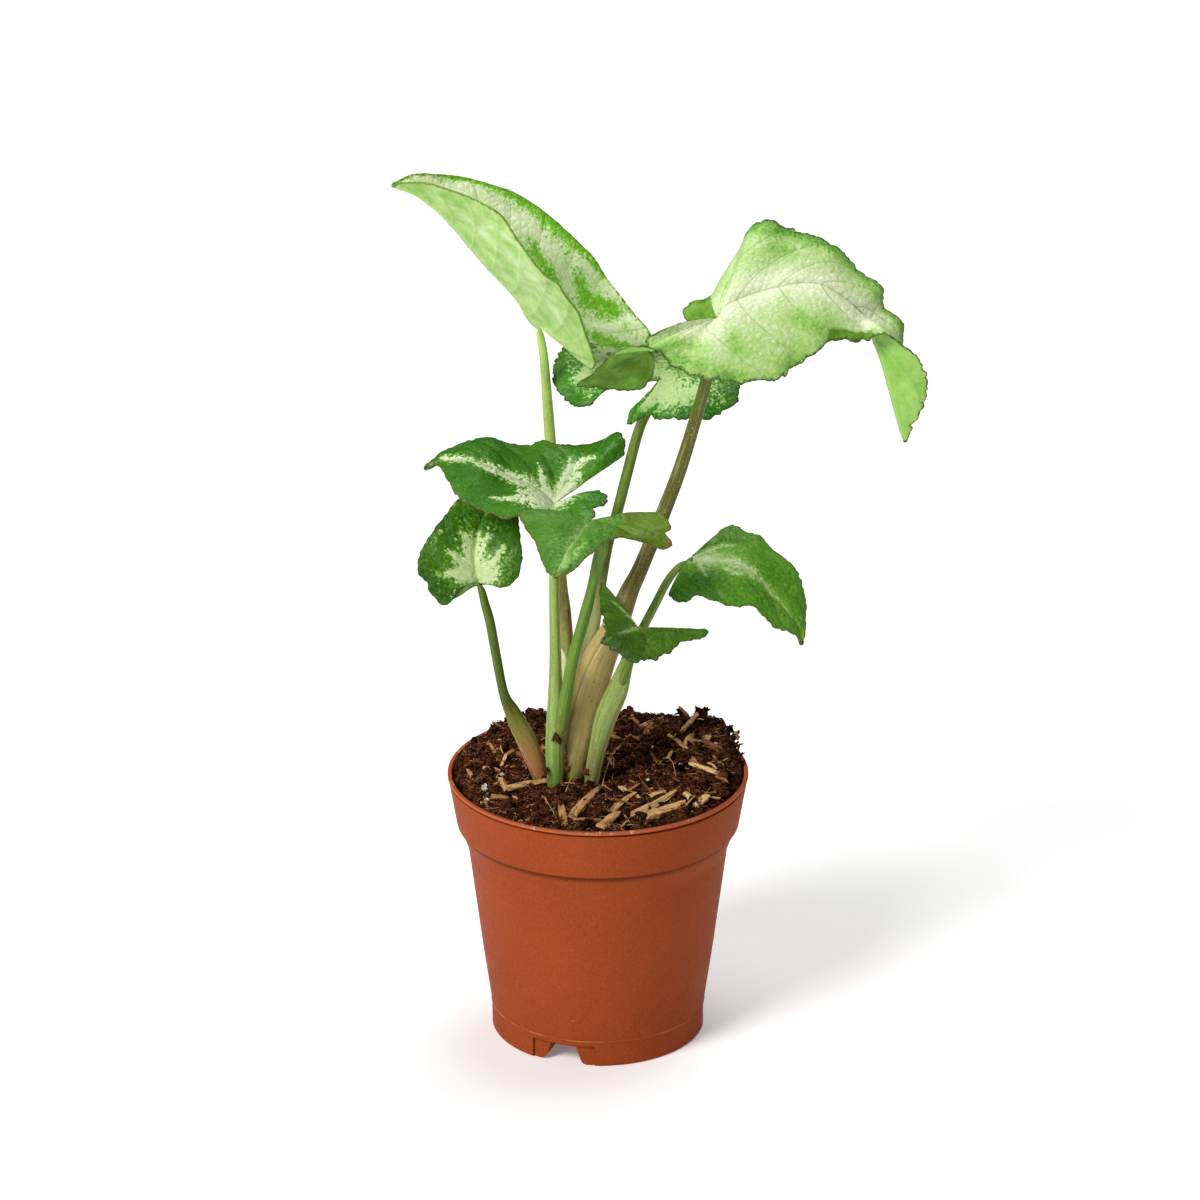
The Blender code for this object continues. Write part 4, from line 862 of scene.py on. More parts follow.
def rib_points(rib, edge_lengths, fan, lengths):
    """The rib's points for these lengths of the edge. All of the fan starts at the rib's first point."""
    rib_lengths = lengths_along(rib)
    main_length = edge_lengths[-1] - edge_lengths[fan]
    share = np.clip((lengths - edge_lengths[fan]) / main_length, 0, 1)
    return on_curve(rib, np.interp(share * rib_lengths[-1], rib_lengths, np.arange(len(rib))))


def half_grid(leaf, side, look, seed, places, lengths, taper):
    """The points of a half, from the rib to the toothed edge."""
    half = leaf[side]
    rib = seen(leaf["rib"])
    edge = seen(half["edge"])
    edge_lengths = lengths_along(edge)
    starts = rib_points(rib, edge_lengths, half["fan"], edge_lengths)
    bends = cross_bends(leaf, half, starts, edge)
    start = rib_points(rib, edge_lengths, half["fan"], lengths)[:, None, :]
    bend = on_curve(bends, places)[:, None, :]
    end = toothed(on_curve(edge, places)[:, None, :], bend, lengths, look["teeth"], taper, seed)
    share = np.linspace(0, 1, CROSS_STEPS + 1)[None, :, None]
    amount, first, last = half.get("crease", (0, 0, 1))
    crease = amount * smooth_step(places, first - 1, first) * (1 - smooth_step(places, last - 1, last + 1))
    return cross_lines(start, bend, end, share, crease)


def half_blade(leaf, side, look, seed, rib_rows):
    """One half of a blade as a grid of points, with what its surface needs to know about each."""
    edge_lengths = lengths_along(seen(leaf[side]["edge"]))
    places, rows, lengths = row_places(leaf[side], look, edge_lengths, rib_rows)
    taper = smooth_step(edge_lengths[-1] - lengths, 0, TIP_TAPER)
    grid = half_grid(leaf, side, look, seed, places, lengths, taper)
    steps = np.linalg.norm(np.diff(grid, axis=1), axis=2)
    from_rib = np.concatenate((np.zeros((len(rows), 1)), np.cumsum(steps, axis=1)), axis=1)
    span = np.linalg.norm(np.gradient(grid, rows, axis=0), axis=2)
    share = np.linspace(0, 1, CROSS_STEPS + 1)[None, :] * np.ones((len(rows), 1))
    turned = turned_parts(look, side, places, share)
    ruffle = wander(lengths, RUFFLE_LENGTH, seed + 11)
    return {
        "grid": grid,
        "rib": from_rib,
        "margin": from_rib[:, -1:] - from_rib,
        "count": rows[:, None] * look["veins"] - look["sweep"] * share ** 1.3 + FIRST_VEIN,
        "gap": np.minimum(span / look["veins"], WIDEST_GAP),
        "wave": ruffle[:, None] * smooth_step(share, 0.55, 1) * taper[:, None],
        "lobe": (rows < 0)[:, None] * np.ones_like(share),
        "turned_top": turned["top"],
        "turned_under": turned["under"],
        "far": np.full_like(share, float(side == "far")),
        "tip": np.maximum(rows, 0)[:, None] * np.ones_like(share),
    }


# What half_blade says about each point, and what the materials read from the mesh
HALF_NUMBERS = ("rib", "margin", "count", "gap", "wave", "lobe", "tip", "turned_top", "turned_under", "far")
KEPT_NUMBERS = ("rib", "margin", "count", "gap", "heart", "tip", "turned_top", "turned_under", "far", "star",
                "sheen_streak", "scar")


def quads(index, turned):
    """The faces between a grid's points, without the corners that fall together."""
    faces = []
    for row in range(len(index) - 1):
        for column in range(len(index[0]) - 1):
            corners = [index[row, column], index[row, column + 1], index[row + 1, column + 1],
                       index[row + 1, column]]
            if turned:
                corners.reverse()
            corners = list(dict.fromkeys(corners))
            if len(corners) > 2:
                faces.append(corners)
    return faces


def joined_halves(leaf, look, seed):
    """Both halves as one set of points, numbers and faces, joined along the rib and at the tip."""
    places = []
    numbers = {field: [] for field in HALF_NUMBERS}
    faces = []
    rib_index = {}
    rib_rows = rows_along(leaf)
    for side, turned in (("near", False), ("far", True)):
        half = half_blade(leaf, side, look, seed + 3 * turned, rib_rows)
        rows, columns = half["rib"].shape
        index = np.zeros((rows, columns), int)
        for row, column in np.ndindex(rows, columns):
            station = row - (rows - rib_rows - 1)
            shared = None
            if column == 0:
                shared = max(station, 0)
            elif station == rib_rows:
                shared = rib_rows
            if shared in rib_index:
                index[row, column] = rib_index[shared]
                continue
            if shared is not None:
                rib_index[shared] = len(places)
            index[row, column] = len(places)
            places.append(half["grid"][row, column])
            for field in HALF_NUMBERS:
                numbers[field].append(half[field][row, column])
        faces += quads(index, turned)
    return np.array(places), {field: np.array(values) for field, values in numbers.items()}, faces


def blade_mesh(name, leaf, look, seed):
    """A blade as one sheet, with its surface's numbers as attributes."""
    places, numbers, faces = joined_halves(leaf, look, seed)
    numbers["heart"] = np.linalg.norm(places - seen(leaf["rib"][:1]), axis=1)
    numbers["star"] = near_strokes(places, look["pale_strokes"]) - near_strokes(places, look["green_strokes"])
    numbers["sheen_streak"] = near_strokes(places, look["sheen_strokes"])
    numbers["scar"] = near_strokes(places, look["scars"])
    # fold_strokes mark more places for the fold_shade colours, in part painted shade.
    folded = smooth_step(near_strokes(places, look["fold_strokes"]), 0.42, 0.58)
    for field in ("turned_top", "turned_under"):
        numbers[field] = np.maximum(numbers[field], folded)

    mesh = bpy.data.meshes.new(name)
    mesh.from_pydata((places * MM).tolist(), [], faces)
    facing = sum((polygon.normal * polygon.area for polygon in mesh.polygons), Vector())
    if facing.dot(Vector(leaf["face"])) < 0:
        mesh.flip_normals()
    lift_surface(mesh, numbers, look)
    for field in KEPT_NUMBERS:
        add_numbers(mesh, field, numbers[field])
    return mesh


def vein_distance(numbers):
    """How far each point is from its nearest side vein, in millimetres."""
    count = numbers["count"]
    return np.abs(count - np.round(count)) * numbers["gap"]


def lift_surface(mesh, numbers, look):
    """The quilting between the veins, the groove over the rib and the waves of the edge."""
    near_vein = np.exp(-(vein_distance(numbers) / VEIN_DIP_WIDTH) ** 2)
    inside = smooth_step(numbers["rib"], 0, 4) * smooth_step(numbers["margin"], 0, 3)
    lift = look["quilt"] * (0.4 - near_vein) * inside * smooth_step(numbers["gap"], 1.5, 5)
    lift -= look["groove"] * np.exp(-(numbers["rib"] / GROOVE_WIDTH) ** 2) * (numbers["lobe"] < 0.5)
    lift += look["ruffle"] * numbers["wave"]
    places = vertex_places(mesh)
    grain = np.array([noise.noise(Vector(place * GRAINS_PER_METRE)) for place in places])
    lift += GRAIN_RISE * grain * inside
    move_vertices(mesh, places + vertex_normals(mesh) * (lift * MM)[:, None])


def raise_veins_below(mesh):
    """The rib and the veins stand out on the underside."""
    count = len(mesh.vertices)
    numbers = {}
    for field in ("rib", "count", "gap", "tip"):
        values = np.empty(count, np.float32)
        mesh.attributes[field].data.foreach_get("value", values)
        numbers[field] = values
    below = np.zeros(count, bool)
    for polygon in mesh.polygons:
        if polygon.material_index == 1:
            below[list(polygon.vertices)] = True
    rise = RIB_RISE * (1 - 0.7 * numbers["tip"]) * np.exp(-(numbers["rib"] / RIB_RISE_WIDTH) ** 2)
    rise += VEIN_RISE * np.exp(-(vein_distance(numbers) / VEIN_RISE_WIDTH) ** 2)
    rise = np.where(below, rise, 0)
    move_vertices(mesh, vertex_places(mesh) + vertex_normals(mesh) * (rise * MM)[:, None])


def make_blade(name, seed):
    look = COMMON_LOOK | LEAF_LOOKS[name]
    mesh = blade_mesh(name + "_fine", LEAVES[name], look, seed)
    obj = link(name + "_fine", mesh)
    for made in (leaf_top(name, look, seed), leaf_under(name, look, seed), leaf_edge(name, look)):
        mesh.materials.append(made)
    solid = obj.modifiers.new("Thickness", "SOLIDIFY")
    solid.thickness = LEAF_THICKNESS * MM
    solid.offset = 0
    solid.material_offset = 1
    solid.material_offset_rim = 2
    settle(obj)
    raise_veins_below(obj.data)
    shade_smooth(obj)
    stand_for(obj, name)


# Material nodes
def colour_of(screen):
    """A screen colour, 0 to 255, as the light's own amounts."""
    shares = [value / 255 for value in screen]
    return [share / 12.92 if share < 0.04045 else ((share + 0.055) / 1.055) ** 2.4 for share in shares]


class Paint:
    """A Principled material, and the few kinds of node that the materials here are made of."""

    def __init__(self, name, roughness, specular=0.3):
        self.material = bpy.data.materials.new(name)
        self.material.use_nodes = True
        self.tree = self.material.node_tree
        self.shader = self.tree.nodes["Principled BSDF"]
        self.shader.inputs["Roughness"].default_value = roughness
        self.shader.inputs["Specular IOR Level"].default_value = specular
        self.place = self.node("TexCoord").outputs["Object"]

    def node(self, kind, **settings):
        made = self.tree.nodes.new("ShaderNode" + kind)
        for name, value in settings.items():
            setattr(made, name, value)
        return made

    def put(self, socket, value):
        if isinstance(value, bpy.types.NodeSocket):
            self.tree.links.new(value, socket)
        elif isinstance(value, (tuple, list)) and socket.type == "RGBA":
            socket.default_value = (*colour_of(value), 1)
        else:
            socket.default_value = value

    def math(self, operation, *values):
        node = self.node("Math", operation=operation)
        for socket, value in zip(node.inputs, values):
            self.put(socket, value)
        return node.outputs[0]

    def plus(self, first, second):
        return self.math("ADD", first, second)

    def less(self, first, second):
        return self.math("SUBTRACT", first, second)

    def times(self, first, second):
        return self.math("MULTIPLY", first, second)

    def number(self, name):
        return self.node("Attribute", attribute_name=name).outputs["Fac"]

    def vector(self, name):
        return self.node("Attribute", attribute_name=name).outputs["Vector"]

    def lay(self, node, size, place, seed):
        """Gives a pattern its place, its size in the place's units and its seed."""
        self.put(node.inputs["Vector"], place or self.place)
        node.inputs["W"].default_value = seed
        node.inputs["Scale"].default_value = 1 / (size * (1 if place else MM))

    def noise(self, size, detail=3.0, roughness=0.55, place=None, seed=0.0):
        """Noise from 0 to 1 with features of this size in millimetres."""
        node = self.node("TexNoise", noise_dimensions="4D")
        self.lay(node, size, place, seed)
        node.inputs["Detail"].default_value = detail
        node.inputs["Roughness"].default_value = roughness
        return node.outputs["Fac"]

    def cells(self, size, feature="F1", output="Distance", place=None, seed=0.0):
        node = self.node("TexVoronoi", voronoi_dimensions="4D", feature=feature)
        self.lay(node, size, place, seed)
        return node.outputs[output]

    def stretch(self, vector, scale):
        node = self.node("Mapping")
        self.put(node.inputs["Vector"], vector)
        node.inputs["Scale"].default_value = scale
        return node.outputs["Vector"]

    def fade(self, value, low, high, at_low=0.0, at_high=1.0):
        """A soft step of the value between two limits."""
        node = self.node("MapRange", interpolation_type="SMOOTHSTEP")
        for socket, number in zip(node.inputs, (value, low, high, at_low, at_high)):
            self.put(socket, number)
        return node.outputs["Result"]

    def falling(self, distance, length):
        """1 at no distance, and less by a factor e with each length."""
        return self.math("EXPONENT", self.math("DIVIDE", distance, -length))

    def mix(self, share, first, second):
        node = self.node("Mix", data_type="RGBA")
        for index, value in ((0, share), (6, first), (7, second)):
            self.put(node.inputs[index], value)
        return node.outputs[2]

    def ramp(self, value, stops):
        node = self.node("ValToRGB")
        self.put(node.inputs[0], value)
        elements = node.color_ramp.elements
        while len(elements) < len(stops):
            elements.new(0.5)
        for element, (position, colour) in zip(elements, stops):
            element.position = position
            element.color = (*colour_of(colour), 1)
        return node.outputs[0]

    def bump(self, height, distance, strength=1.0, onto=None):
        """A bump as high as distance millimetres where the height is 1."""
        node = self.node("Bump")
        node.inputs["Strength"].default_value = strength
        node.inputs["Distance"].default_value = distance * MM
        self.put(node.inputs["Height"], height)
        if onto:
            self.put(node.inputs["Normal"], onto)
        return node.outputs["Normal"]

    def finish(self, colour, normal=None, roughness=None):
        self.put(self.shader.inputs["Base Color"], colour)
        if normal:
            self.put(self.shader.inputs["Normal"], normal)
        if roughness:
            self.put(self.shader.inputs["Roughness"], roughness)
        return self.material


def vein_lines(paint):
    """The distance from the nearest side vein, in millimetres."""
    count = paint.math("FRACT", paint.plus(paint.number("count"), 20.5))
    return paint.times(paint.math("ABSOLUTE", paint.less(count, 0.5)), paint.number("gap"))


def pale_share(paint, look, rib, vein, patches, flecks, seed):
    """How pale the upper side is: near the stem's end, the rib and the veins, in strokes and in specks."""
    heart_amount, heart_size = look["heart"]
    rib_amount, rib_width = look["rib"]
    vein_amount, vein_width, reach = look["vein"]
    pale = paint.times(paint.falling(paint.number("heart"), heart_size), heart_amount)
    along_rib = paint.times(paint.falling(rib, rib_width), rib_amount)
    along_vein = paint.times(paint.falling(vein, vein_width), vein_amount)
    along_vein = paint.times(along_vein, paint.falling(rib, reach))
    pale = paint.plus(paint.plus(pale, along_rib), along_vein)
    pale = paint.plus(pale, look["base"])
    pale = paint.plus(pale, paint.times(paint.number("star"), look["stroke"]))
    speckle = paint.less(paint.cells(0.55, output="Color", seed=seed), 0.5)
    for pattern, strength in ((patches, 1.3), (flecks, 3.0), (speckle, 0.85)):
        pale = paint.plus(pale, paint.times(pattern, strength * look["mottle"]))
    return pale


def green_band(paint, look, margin):
    """The greener margin, and how strong it is on the two halves."""
    width, near_half, far_half = look["band"]
    amount = paint.fade(paint.number("far"), 0.0, 1.0, near_half, far_half)
    band = paint.fade(margin, width * 0.4, width * 1.9, 1.0, 0.0)
    return paint.times(band, amount)


def leaf_top(name, look, seed):
    """The upper side: dark green with pale patches that follow the rib and the veins, a net of fine veins."""
    paint = Paint(name + "_top", look["gloss"], 0.2)
    rib = paint.number("rib")
    vein = vein_lines(paint)
    patches = paint.less(paint.noise(6, 3, 0.55, seed=seed), 0.5)
    flecks = paint.less(paint.noise(0.9, 5, 0.7, seed=seed + 3), 0.5)
    waved_margin = paint.plus(paint.number("margin"), paint.times(flecks, 3.2))
    pale = pale_share(paint, look, rib, vein, patches, flecks, seed)
    pale = paint.less(pale, green_band(paint, look, waved_margin))
    low, middle, high = look["steps"]
    colour = paint.ramp(pale, [(low, look["dark"]), (middle, look["mid"]), (high, look["pale"])])

    fine = paint.cells(1.9, feature="DISTANCE_TO_EDGE", seed=seed)
    net = paint.fade(fine, 0.0, 0.09, 1.0, 0.0)
    colour = paint.mix(paint.times(net, look["net"]), colour, look["mid"])
    vein_plain, rib_plain = look["lines"]
    line = paint.fade(vein, 0.08, 0.34, 1.0, 0.0)
    rib_line = paint.fade(rib, 0.12, 0.5, 1.0, 0.0)
    colour = paint.mix(paint.times(line, vein_plain), colour, look["line"])
    colour = paint.mix(paint.times(rib_line, rib_plain), colour, look["line"])
    shade = paint.noise(11, 3, 0.5, seed=seed + 8)
    colour = paint.mix(paint.fade(shade, 0.38, 0.68, 0.0, 0.3), colour, look["mid"])

    # The turned parts take the darker fold_shade colours: painted shade in part.
    turned = paint.mix(paint.fade(patches, -0.2, 0.2), look["fold_shade"], look["under"])
    colour = paint.mix(paint.number("turned_top"), colour, turned)
    tip = paint.plus(paint.number("tip"), paint.times(flecks, 0.12))
    colour = paint.mix(paint.fade(tip, look["tip_start"], 1.0, 0.0, 0.75), colour, look["tip_tint"])
    rim = paint.fade(waved_margin, 0.02, look["rim"], 0.85, 0.0)
    colour = paint.mix(rim, colour, look["edge"])
    colour = paint.mix(paint.number("scar"), colour, SCAR_COLOUR)

    pucker = paint.fade(fine, 0.0, 0.35)
    height = paint.plus(paint.times(pucker, 1.3), paint.times(line, -0.8))
    height = paint.plus(height, paint.times(paint.noise(0.45, 3, 0.6, seed=seed), 0.7))
    gloss = look["gloss"]
    roughness = paint.fade(paint.noise(2.5, 3, 0.6, seed=seed), 0.3, 0.75, gloss - 0.05, gloss + 0.14)
    return paint.finish(colour, paint.bump(height, look["pucker"], 0.9), roughness)


def leaf_under(name, look, seed):
    """The paler underside with its raised veins and painted highlights, pale streaks of sheen."""
    paint = Paint(name + "_under", 0.5, 0.2)
    vein = vein_lines(paint)
    rib = paint.number("rib")
    cloud = paint.noise(5, 4, 0.6, seed=seed)
    colour = paint.ramp(cloud, [(0.34, look["under"]), (0.66, look["under_pale"])])
    fine = paint.cells(1.8, feature="DISTANCE_TO_EDGE", seed=seed)
    net = paint.fade(fine, 0.0, 0.1, 1.0, 0.0)
    colour = paint.mix(paint.times(net, 0.2), colour, look["under"])
    line = paint.fade(vein, 0.12, 0.5, 1.0, 0.0)
    rib_line = paint.fade(rib, 0.3, 0.9, 1.0, 0.0)
    colour = paint.mix(paint.times(line, 0.35), colour, look["under_pale"])
    colour = paint.mix(paint.times(rib_line, 0.6), colour, look["under_pale"])
    # Pale streaks of sheen along the curve of the underside: painted highlights.
    broken = paint.fade(paint.noise(3.2, 3, 0.5, seed=seed), 0.34, 0.66)
    sheen_streak = paint.times(paint.number("sheen_streak"), broken)
    colour = paint.mix(paint.times(sheen_streak, 0.6), colour, PAINTED_SHEEN)
    # The turned parts take the darker fold_shade colours: painted shade in part.
    folded = paint.mix(paint.fade(cloud, 0.35, 0.65), look["fold_shade"], look["under"])
    folded = paint.mix(paint.fade(cloud, 0.3, 0.7, 0.75, 0.35), folded, look["fold_shade"])
    colour = paint.mix(paint.number("turned_under"), colour, folded)
    flecks = paint.less(paint.noise(0.9, 4, 0.7, seed=seed + 3), 0.5)
    waved = paint.plus(paint.number("margin"), paint.times(flecks, 2))
    rim = paint.fade(waved, 0.1, 0.55, 0.85, 0.0)
    colour = paint.mix(rim, colour, look["edge"])
    colour = paint.mix(paint.number("scar"), colour, SCAR_COLOUR)
    height = paint.plus(paint.times(net, 0.4), paint.noise(0.6, 3, 0.6, seed=seed))
    return paint.finish(colour, paint.bump(height, 0.08, 0.8))


def leaf_edge(name, look):
    paint = Paint(name + "_edge", 0.5)
    colour = paint.ramp(paint.noise(1.5, 2, 0.5), [(0.3, look["edge"]), (0.7, look["dark"])])
    colour = paint.mix(paint.number("scar"), colour, SCAR_COLOUR)
    return paint.finish(colour, paint.bump(paint.noise(0.4, 2, 0.5), 0.05))


# Stems
def sheath_wraps(wraps, share, angles, around):
    """How much the sheaths thicken a stem at each point, and how far that is from a sheath's edge."""
    edge = np.full((len(share), STEM_SIDES), FAR_FROM_EDGE)
    grow = np.zeros_like(edge)
    for start, end, first_turn, last_turn, height in wraps:
        within = smooth_step(share, start, start + 0.05) * (1 - smooth_step(share, end - 0.02, end))
        turn = 2 * math.pi * (first_turn + (last_turn - first_turn) * (share - start) / (end - start))
        after = ((angles - turn[:, None]) / (2 * math.pi)) % 1.0
        grow += height * np.exp(-after / 0.22) * within[:, None]
        near = ((after + 0.5) % 1.0 - 0.5) * around
        near += np.sign(near) * FAR_FROM_EDGE * (1 - within[:, None])
        edge = np.where(np.abs(near) < np.abs(edge), near, edge)
    return grow, edge


def stem_grid(points, blade_normal, sink, wraps):
    """Rings of points down a stem, with the unrolled skin, the share of its length and the sheaths' edges."""
    centres = seen([point[:3] for point in points])
    sizes = np.array([point[3:] for point in points], float)
    centres[0] = centres[0] - blade_normal * STEM_TOP_OVERLAP
    if sink:
        centres = np.vstack((centres, centres[-1] - np.array((0, 0, sink))))
        sizes = np.vstack((sizes, sizes[-1] * 0.8))
    lengths = lengths_along(centres)
    wanted = np.linspace(0, lengths[-1], int(lengths[-1] / STEM_RING_STEP) + 2)
    places = np.interp(wanted, lengths, np.arange(len(centres)))
    middle = on_curve(centres, places)
    size = on_curve(sizes, places)
    along = -np.gradient(middle, axis=0)
    along /= np.linalg.norm(along, axis=1, keepdims=True)
    side = np.cross(np.array((0.0, 1.0, 0.0)), along)
    side /= np.linalg.norm(side, axis=1, keepdims=True)
    outward = np.cross(along, side)
    angles = np.linspace(0, 2 * math.pi, STEM_SIDES, endpoint=False)[None, :]
    top = 0.55 + 0.45 * smooth_step(wanted, 0, STEM_TOP_LENGTH)
    wide = (size[:, 0] / 2 * top)[:, None]
    deep = (size[:, 1] / 2 * top)[:, None]
    share = wanted / lengths[-1]
    around = 2 * math.pi * np.sqrt((wide ** 2 + deep ** 2) / 2)
    grow, edge = sheath_wraps(wraps, share, angles, around)
    grid = middle[:, None, :] + side[:, None, :] * (np.cos(angles) * (wide + grow))[:, :, None]
    grid = grid + outward[:, None, :] * (np.sin(angles) * (deep + grow))[:, :, None]
    down = wanted[:, None] * np.ones_like(angles)
    skin = np.stack((np.cos(angles) * wide, np.sin(angles) * deep, down), axis=2)
    return grid, skin, share[:, None] * np.ones_like(edge), edge


def make_stem(name, seed):
    look = STEM_PLAN[name]
    leaf = LEAVES[look["leaf"]]
    rib = seen(leaf["rib"][:2])
    normal = np.array(leaf["face"], float)
    along = rib[1] - rib[0]
    along /= np.linalg.norm(along)
    normal -= along * (normal @ along)
    normal /= np.linalg.norm(normal)
    grid, skin, share, edge = stem_grid(look["points"], normal, look["sink"], look["wraps"])
    rows, columns = share.shape
    index = np.arange(rows * columns).reshape(rows, columns)
    after = np.roll(index, -1, axis=1)
    faces = np.stack((index[:-1], after[:-1], after[1:], index[1:]), axis=2).reshape(-1, 4).tolist()
    faces.append(index[0][::-1].tolist())
    faces.append(index[-1].tolist())
    mesh = bpy.data.meshes.new(name)
    mesh.from_pydata((grid.reshape(-1, 3) * MM).tolist(), [], faces)
    add_numbers(mesh, "share", share)
    add_numbers(mesh, "edge", edge)
    add_vectors(mesh, "skin", skin)
    obj = link(name, mesh)
    face_outwards(obj)
    mesh.materials.append(stem_skin(name, look, seed))
    shade_smooth(obj)
    stand_for(obj, look["node"])


def stem_skin(name, look, seed):
    """Streaked along its length, with brown lines at the sheaths' edges, painted shade beside them, and small
    brown specks.
    """
    paint = Paint(name, 0.42, 0.15)
    skin = paint.vector("skin")
    long = paint.stretch(skin, (1, 1, 0.05))
    streaks = paint.noise(0.7, 3, 0.6, place=long, seed=seed)
    colour = paint.ramp(paint.number("share"), look["skin"])
    colour = paint.mix(paint.fade(streaks, 0.45, 0.8, 0.0, 0.5), colour, look["light"])
    colour = paint.mix(paint.fade(streaks, 0.5, 0.25, 0.0, 0.45), colour, look["dark"])
    patches = paint.noise(5, 3, 0.6, place=paint.stretch(skin, (1, 1, 0.3)), seed=seed + 2)
    colour = paint.mix(paint.fade(patches, 0.5, 0.75, 0.0, 0.45), colour, look["dark"])
    dots = paint.noise(0.35, 2, 0.7, place=paint.stretch(skin, (1, 1, 0.45)), seed=seed + 6)
    colour = paint.mix(paint.fade(dots, 0.56, 0.7, 0.0, 0.5), colour, look["dark"])
    colour = paint.mix(paint.fade(dots, 0.44, 0.32, 0.0, 0.35), colour, look["light"])
    specks = paint.cells(1.6, place=skin, seed=seed)
    chosen = paint.fade(paint.noise(2.2, 1, 0.5, place=skin, seed=seed + 4), 0.54, 0.6)
    speck = paint.times(paint.fade(specks, 0.16, 0.08, 0.0, 0.8), chosen)
    colour = paint.mix(speck, colour, STEM_SPECK)
    waver = paint.times(paint.less(streaks, 0.5), 0.5)
    off_edge = paint.plus(paint.number("edge"), waver)
    line = paint.fade(paint.math("ABSOLUTE", off_edge), 0.1, 0.36, 0.8, 0.0)
    colour = paint.mix(line, colour, look["line"])
    # Darker just beside a sheath's edge, on the side where the sheath stands over the stem: painted shade.
    shade_beside_sheath_edge = paint.fade(off_edge, -0.9, -0.1, 0.0, 0.55)
    shade_beside_sheath_edge = paint.times(shade_beside_sheath_edge, paint.fade(off_edge, -0.1, 0.0, 1.0, 0.0))
    colour = paint.mix(shade_beside_sheath_edge, colour, look["dark"])
    foot = paint.fade(paint.number("share"), 0.84, 0.97, 0.0, 0.24)
    dirt = paint.noise(1.1, 4, 0.7, place=paint.stretch(skin, (1, 1, 0.35)), seed=seed + 9)
    dirt = paint.plus(dirt, foot)
    colour = paint.mix(paint.fade(dirt, 0.74, 0.84, 0.0, 0.8), colour, STEM_DIRT)
    fine = paint.noise(0.22, 2, 0.6, place=long, seed=seed + 1)
    height = paint.plus(paint.times(streaks, 1.4), fine)
    roughness = paint.fade(streaks, 0.3, 0.7, 0.36, 0.5)
    return paint.finish(colour, paint.bump(height, 0.09, 0.9), roughness)


# Pot
def outer_radius(height):
    """The tapered body of the pot under its rim band."""
    return FOOT_RADIUS + (BODY_TOP_RADIUS - FOOT_RADIUS) * height / BODY_TOP_HEIGHT


def inner_radius(height):
    if height >= BAND_BOTTOM_HEIGHT:
        share = (height - BAND_BOTTOM_HEIGHT) / (POT_HEIGHT - BAND_BOTTOM_HEIGHT)
        return BAND_BOTTOM_RADIUS - WALL + (RIM_RADIUS - BAND_BOTTOM_RADIUS) * share
    if height >= BODY_TOP_HEIGHT:
        share = (height - BODY_TOP_HEIGHT) / (BAND_BOTTOM_HEIGHT - BODY_TOP_HEIGHT)
        return BODY_TOP_RADIUS - WALL + (BAND_BOTTOM_RADIUS - BODY_TOP_RADIUS) * share
    if height >= FOOT_LINE_HEIGHT + 2:
        return outer_radius(height) - WALL
    return outer_radius(height) - FOOT_WALL


def rounded(before, corner, after, radius, steps=5):
    """Points round a corner of a profile."""
    before, corner, after = (np.array(point, float) for point in (before, corner, after))
    back = before - corner
    ahead = after - corner
    start = corner + back / np.linalg.norm(back) * radius
    end = corner + ahead / np.linalg.norm(ahead) * radius
    made = []
    for step in range(steps + 1):
        share = step / steps
        point = start * (1 - share) ** 2 + corner * 2 * share * (1 - share) + end * share ** 2
        made.append(tuple(point))
    return made


def pot_profile():
    """The section of the pot's wall, from the middle of the floor inside to the middle of the base."""
    corners = [
        (0, FLOOR, 0),
        (inner_radius(FLOOR), FLOOR, 1.0),
        (inner_radius(FOOT_LINE_HEIGHT + 1.9), FOOT_LINE_HEIGHT + 1.0, 0.3),
        (inner_radius(FOOT_LINE_HEIGHT + 3), FOOT_LINE_HEIGHT + 3, 0.3),
        (inner_radius(BODY_TOP_HEIGHT), BODY_TOP_HEIGHT, 0.6),
        (inner_radius(BAND_BOTTOM_HEIGHT), BAND_BOTTOM_HEIGHT, 0.6),
        (RIM_RADIUS - WALL - 0.02, POT_HEIGHT, 0.3),
        (RIM_RADIUS, POT_HEIGHT, 0.32),
        (RIM_RADIUS - 0.03, POT_HEIGHT - 0.85, 0.2),
        (RIM_RADIUS - 0.62, POT_HEIGHT - 1.0, 0.1),
        (RIM_RADIUS - 0.62, POT_HEIGHT - 1.3, 0.1),
        (RIM_RADIUS - 0.3, POT_HEIGHT - 1.6, 0.15),
        (BAND_BOTTOM_RADIUS + 0.12, BAND_BOTTOM_HEIGHT + 1.5, 0.16),
        (BAND_BOTTOM_RADIUS - 0.5, BAND_BOTTOM_HEIGHT + 1.3, 0.12),
        (BAND_BOTTOM_RADIUS - 0.75, BAND_BOTTOM_HEIGHT + 0.8, 0.3),
        (BODY_TOP_RADIUS - 0.1, BODY_TOP_HEIGHT - 0.3, 1.4),
        (outer_radius(FOOT_LINE_HEIGHT + 15) - 0.1, FOOT_LINE_HEIGHT + 15, 2.0),
        (FOOT_RADIUS + FOOT_RIM + 0.12, FOOT_LINE_HEIGHT + 0.95, 0.08),
        (FOOT_RADIUS + FOOT_RIM + 0.26, FOOT_LINE_HEIGHT + 0.75, 0.08),
        (FOOT_RADIUS + FOOT_RIM, FOOT_LINE_HEIGHT + 0.5, 0.1),
        (FOOT_RADIUS + FOOT_RIM, 0, 0.5),
        (0, 0, 0),
    ]
    profile = []
    for index, (radius, height, round_by) in enumerate(corners):
        if round_by == 0:
            profile.append((radius, height))
            continue
        before = corners[index - 1][:2]
        after = corners[index + 1][:2]
        profile += rounded(before, (radius, height), after, round_by)
    return profile


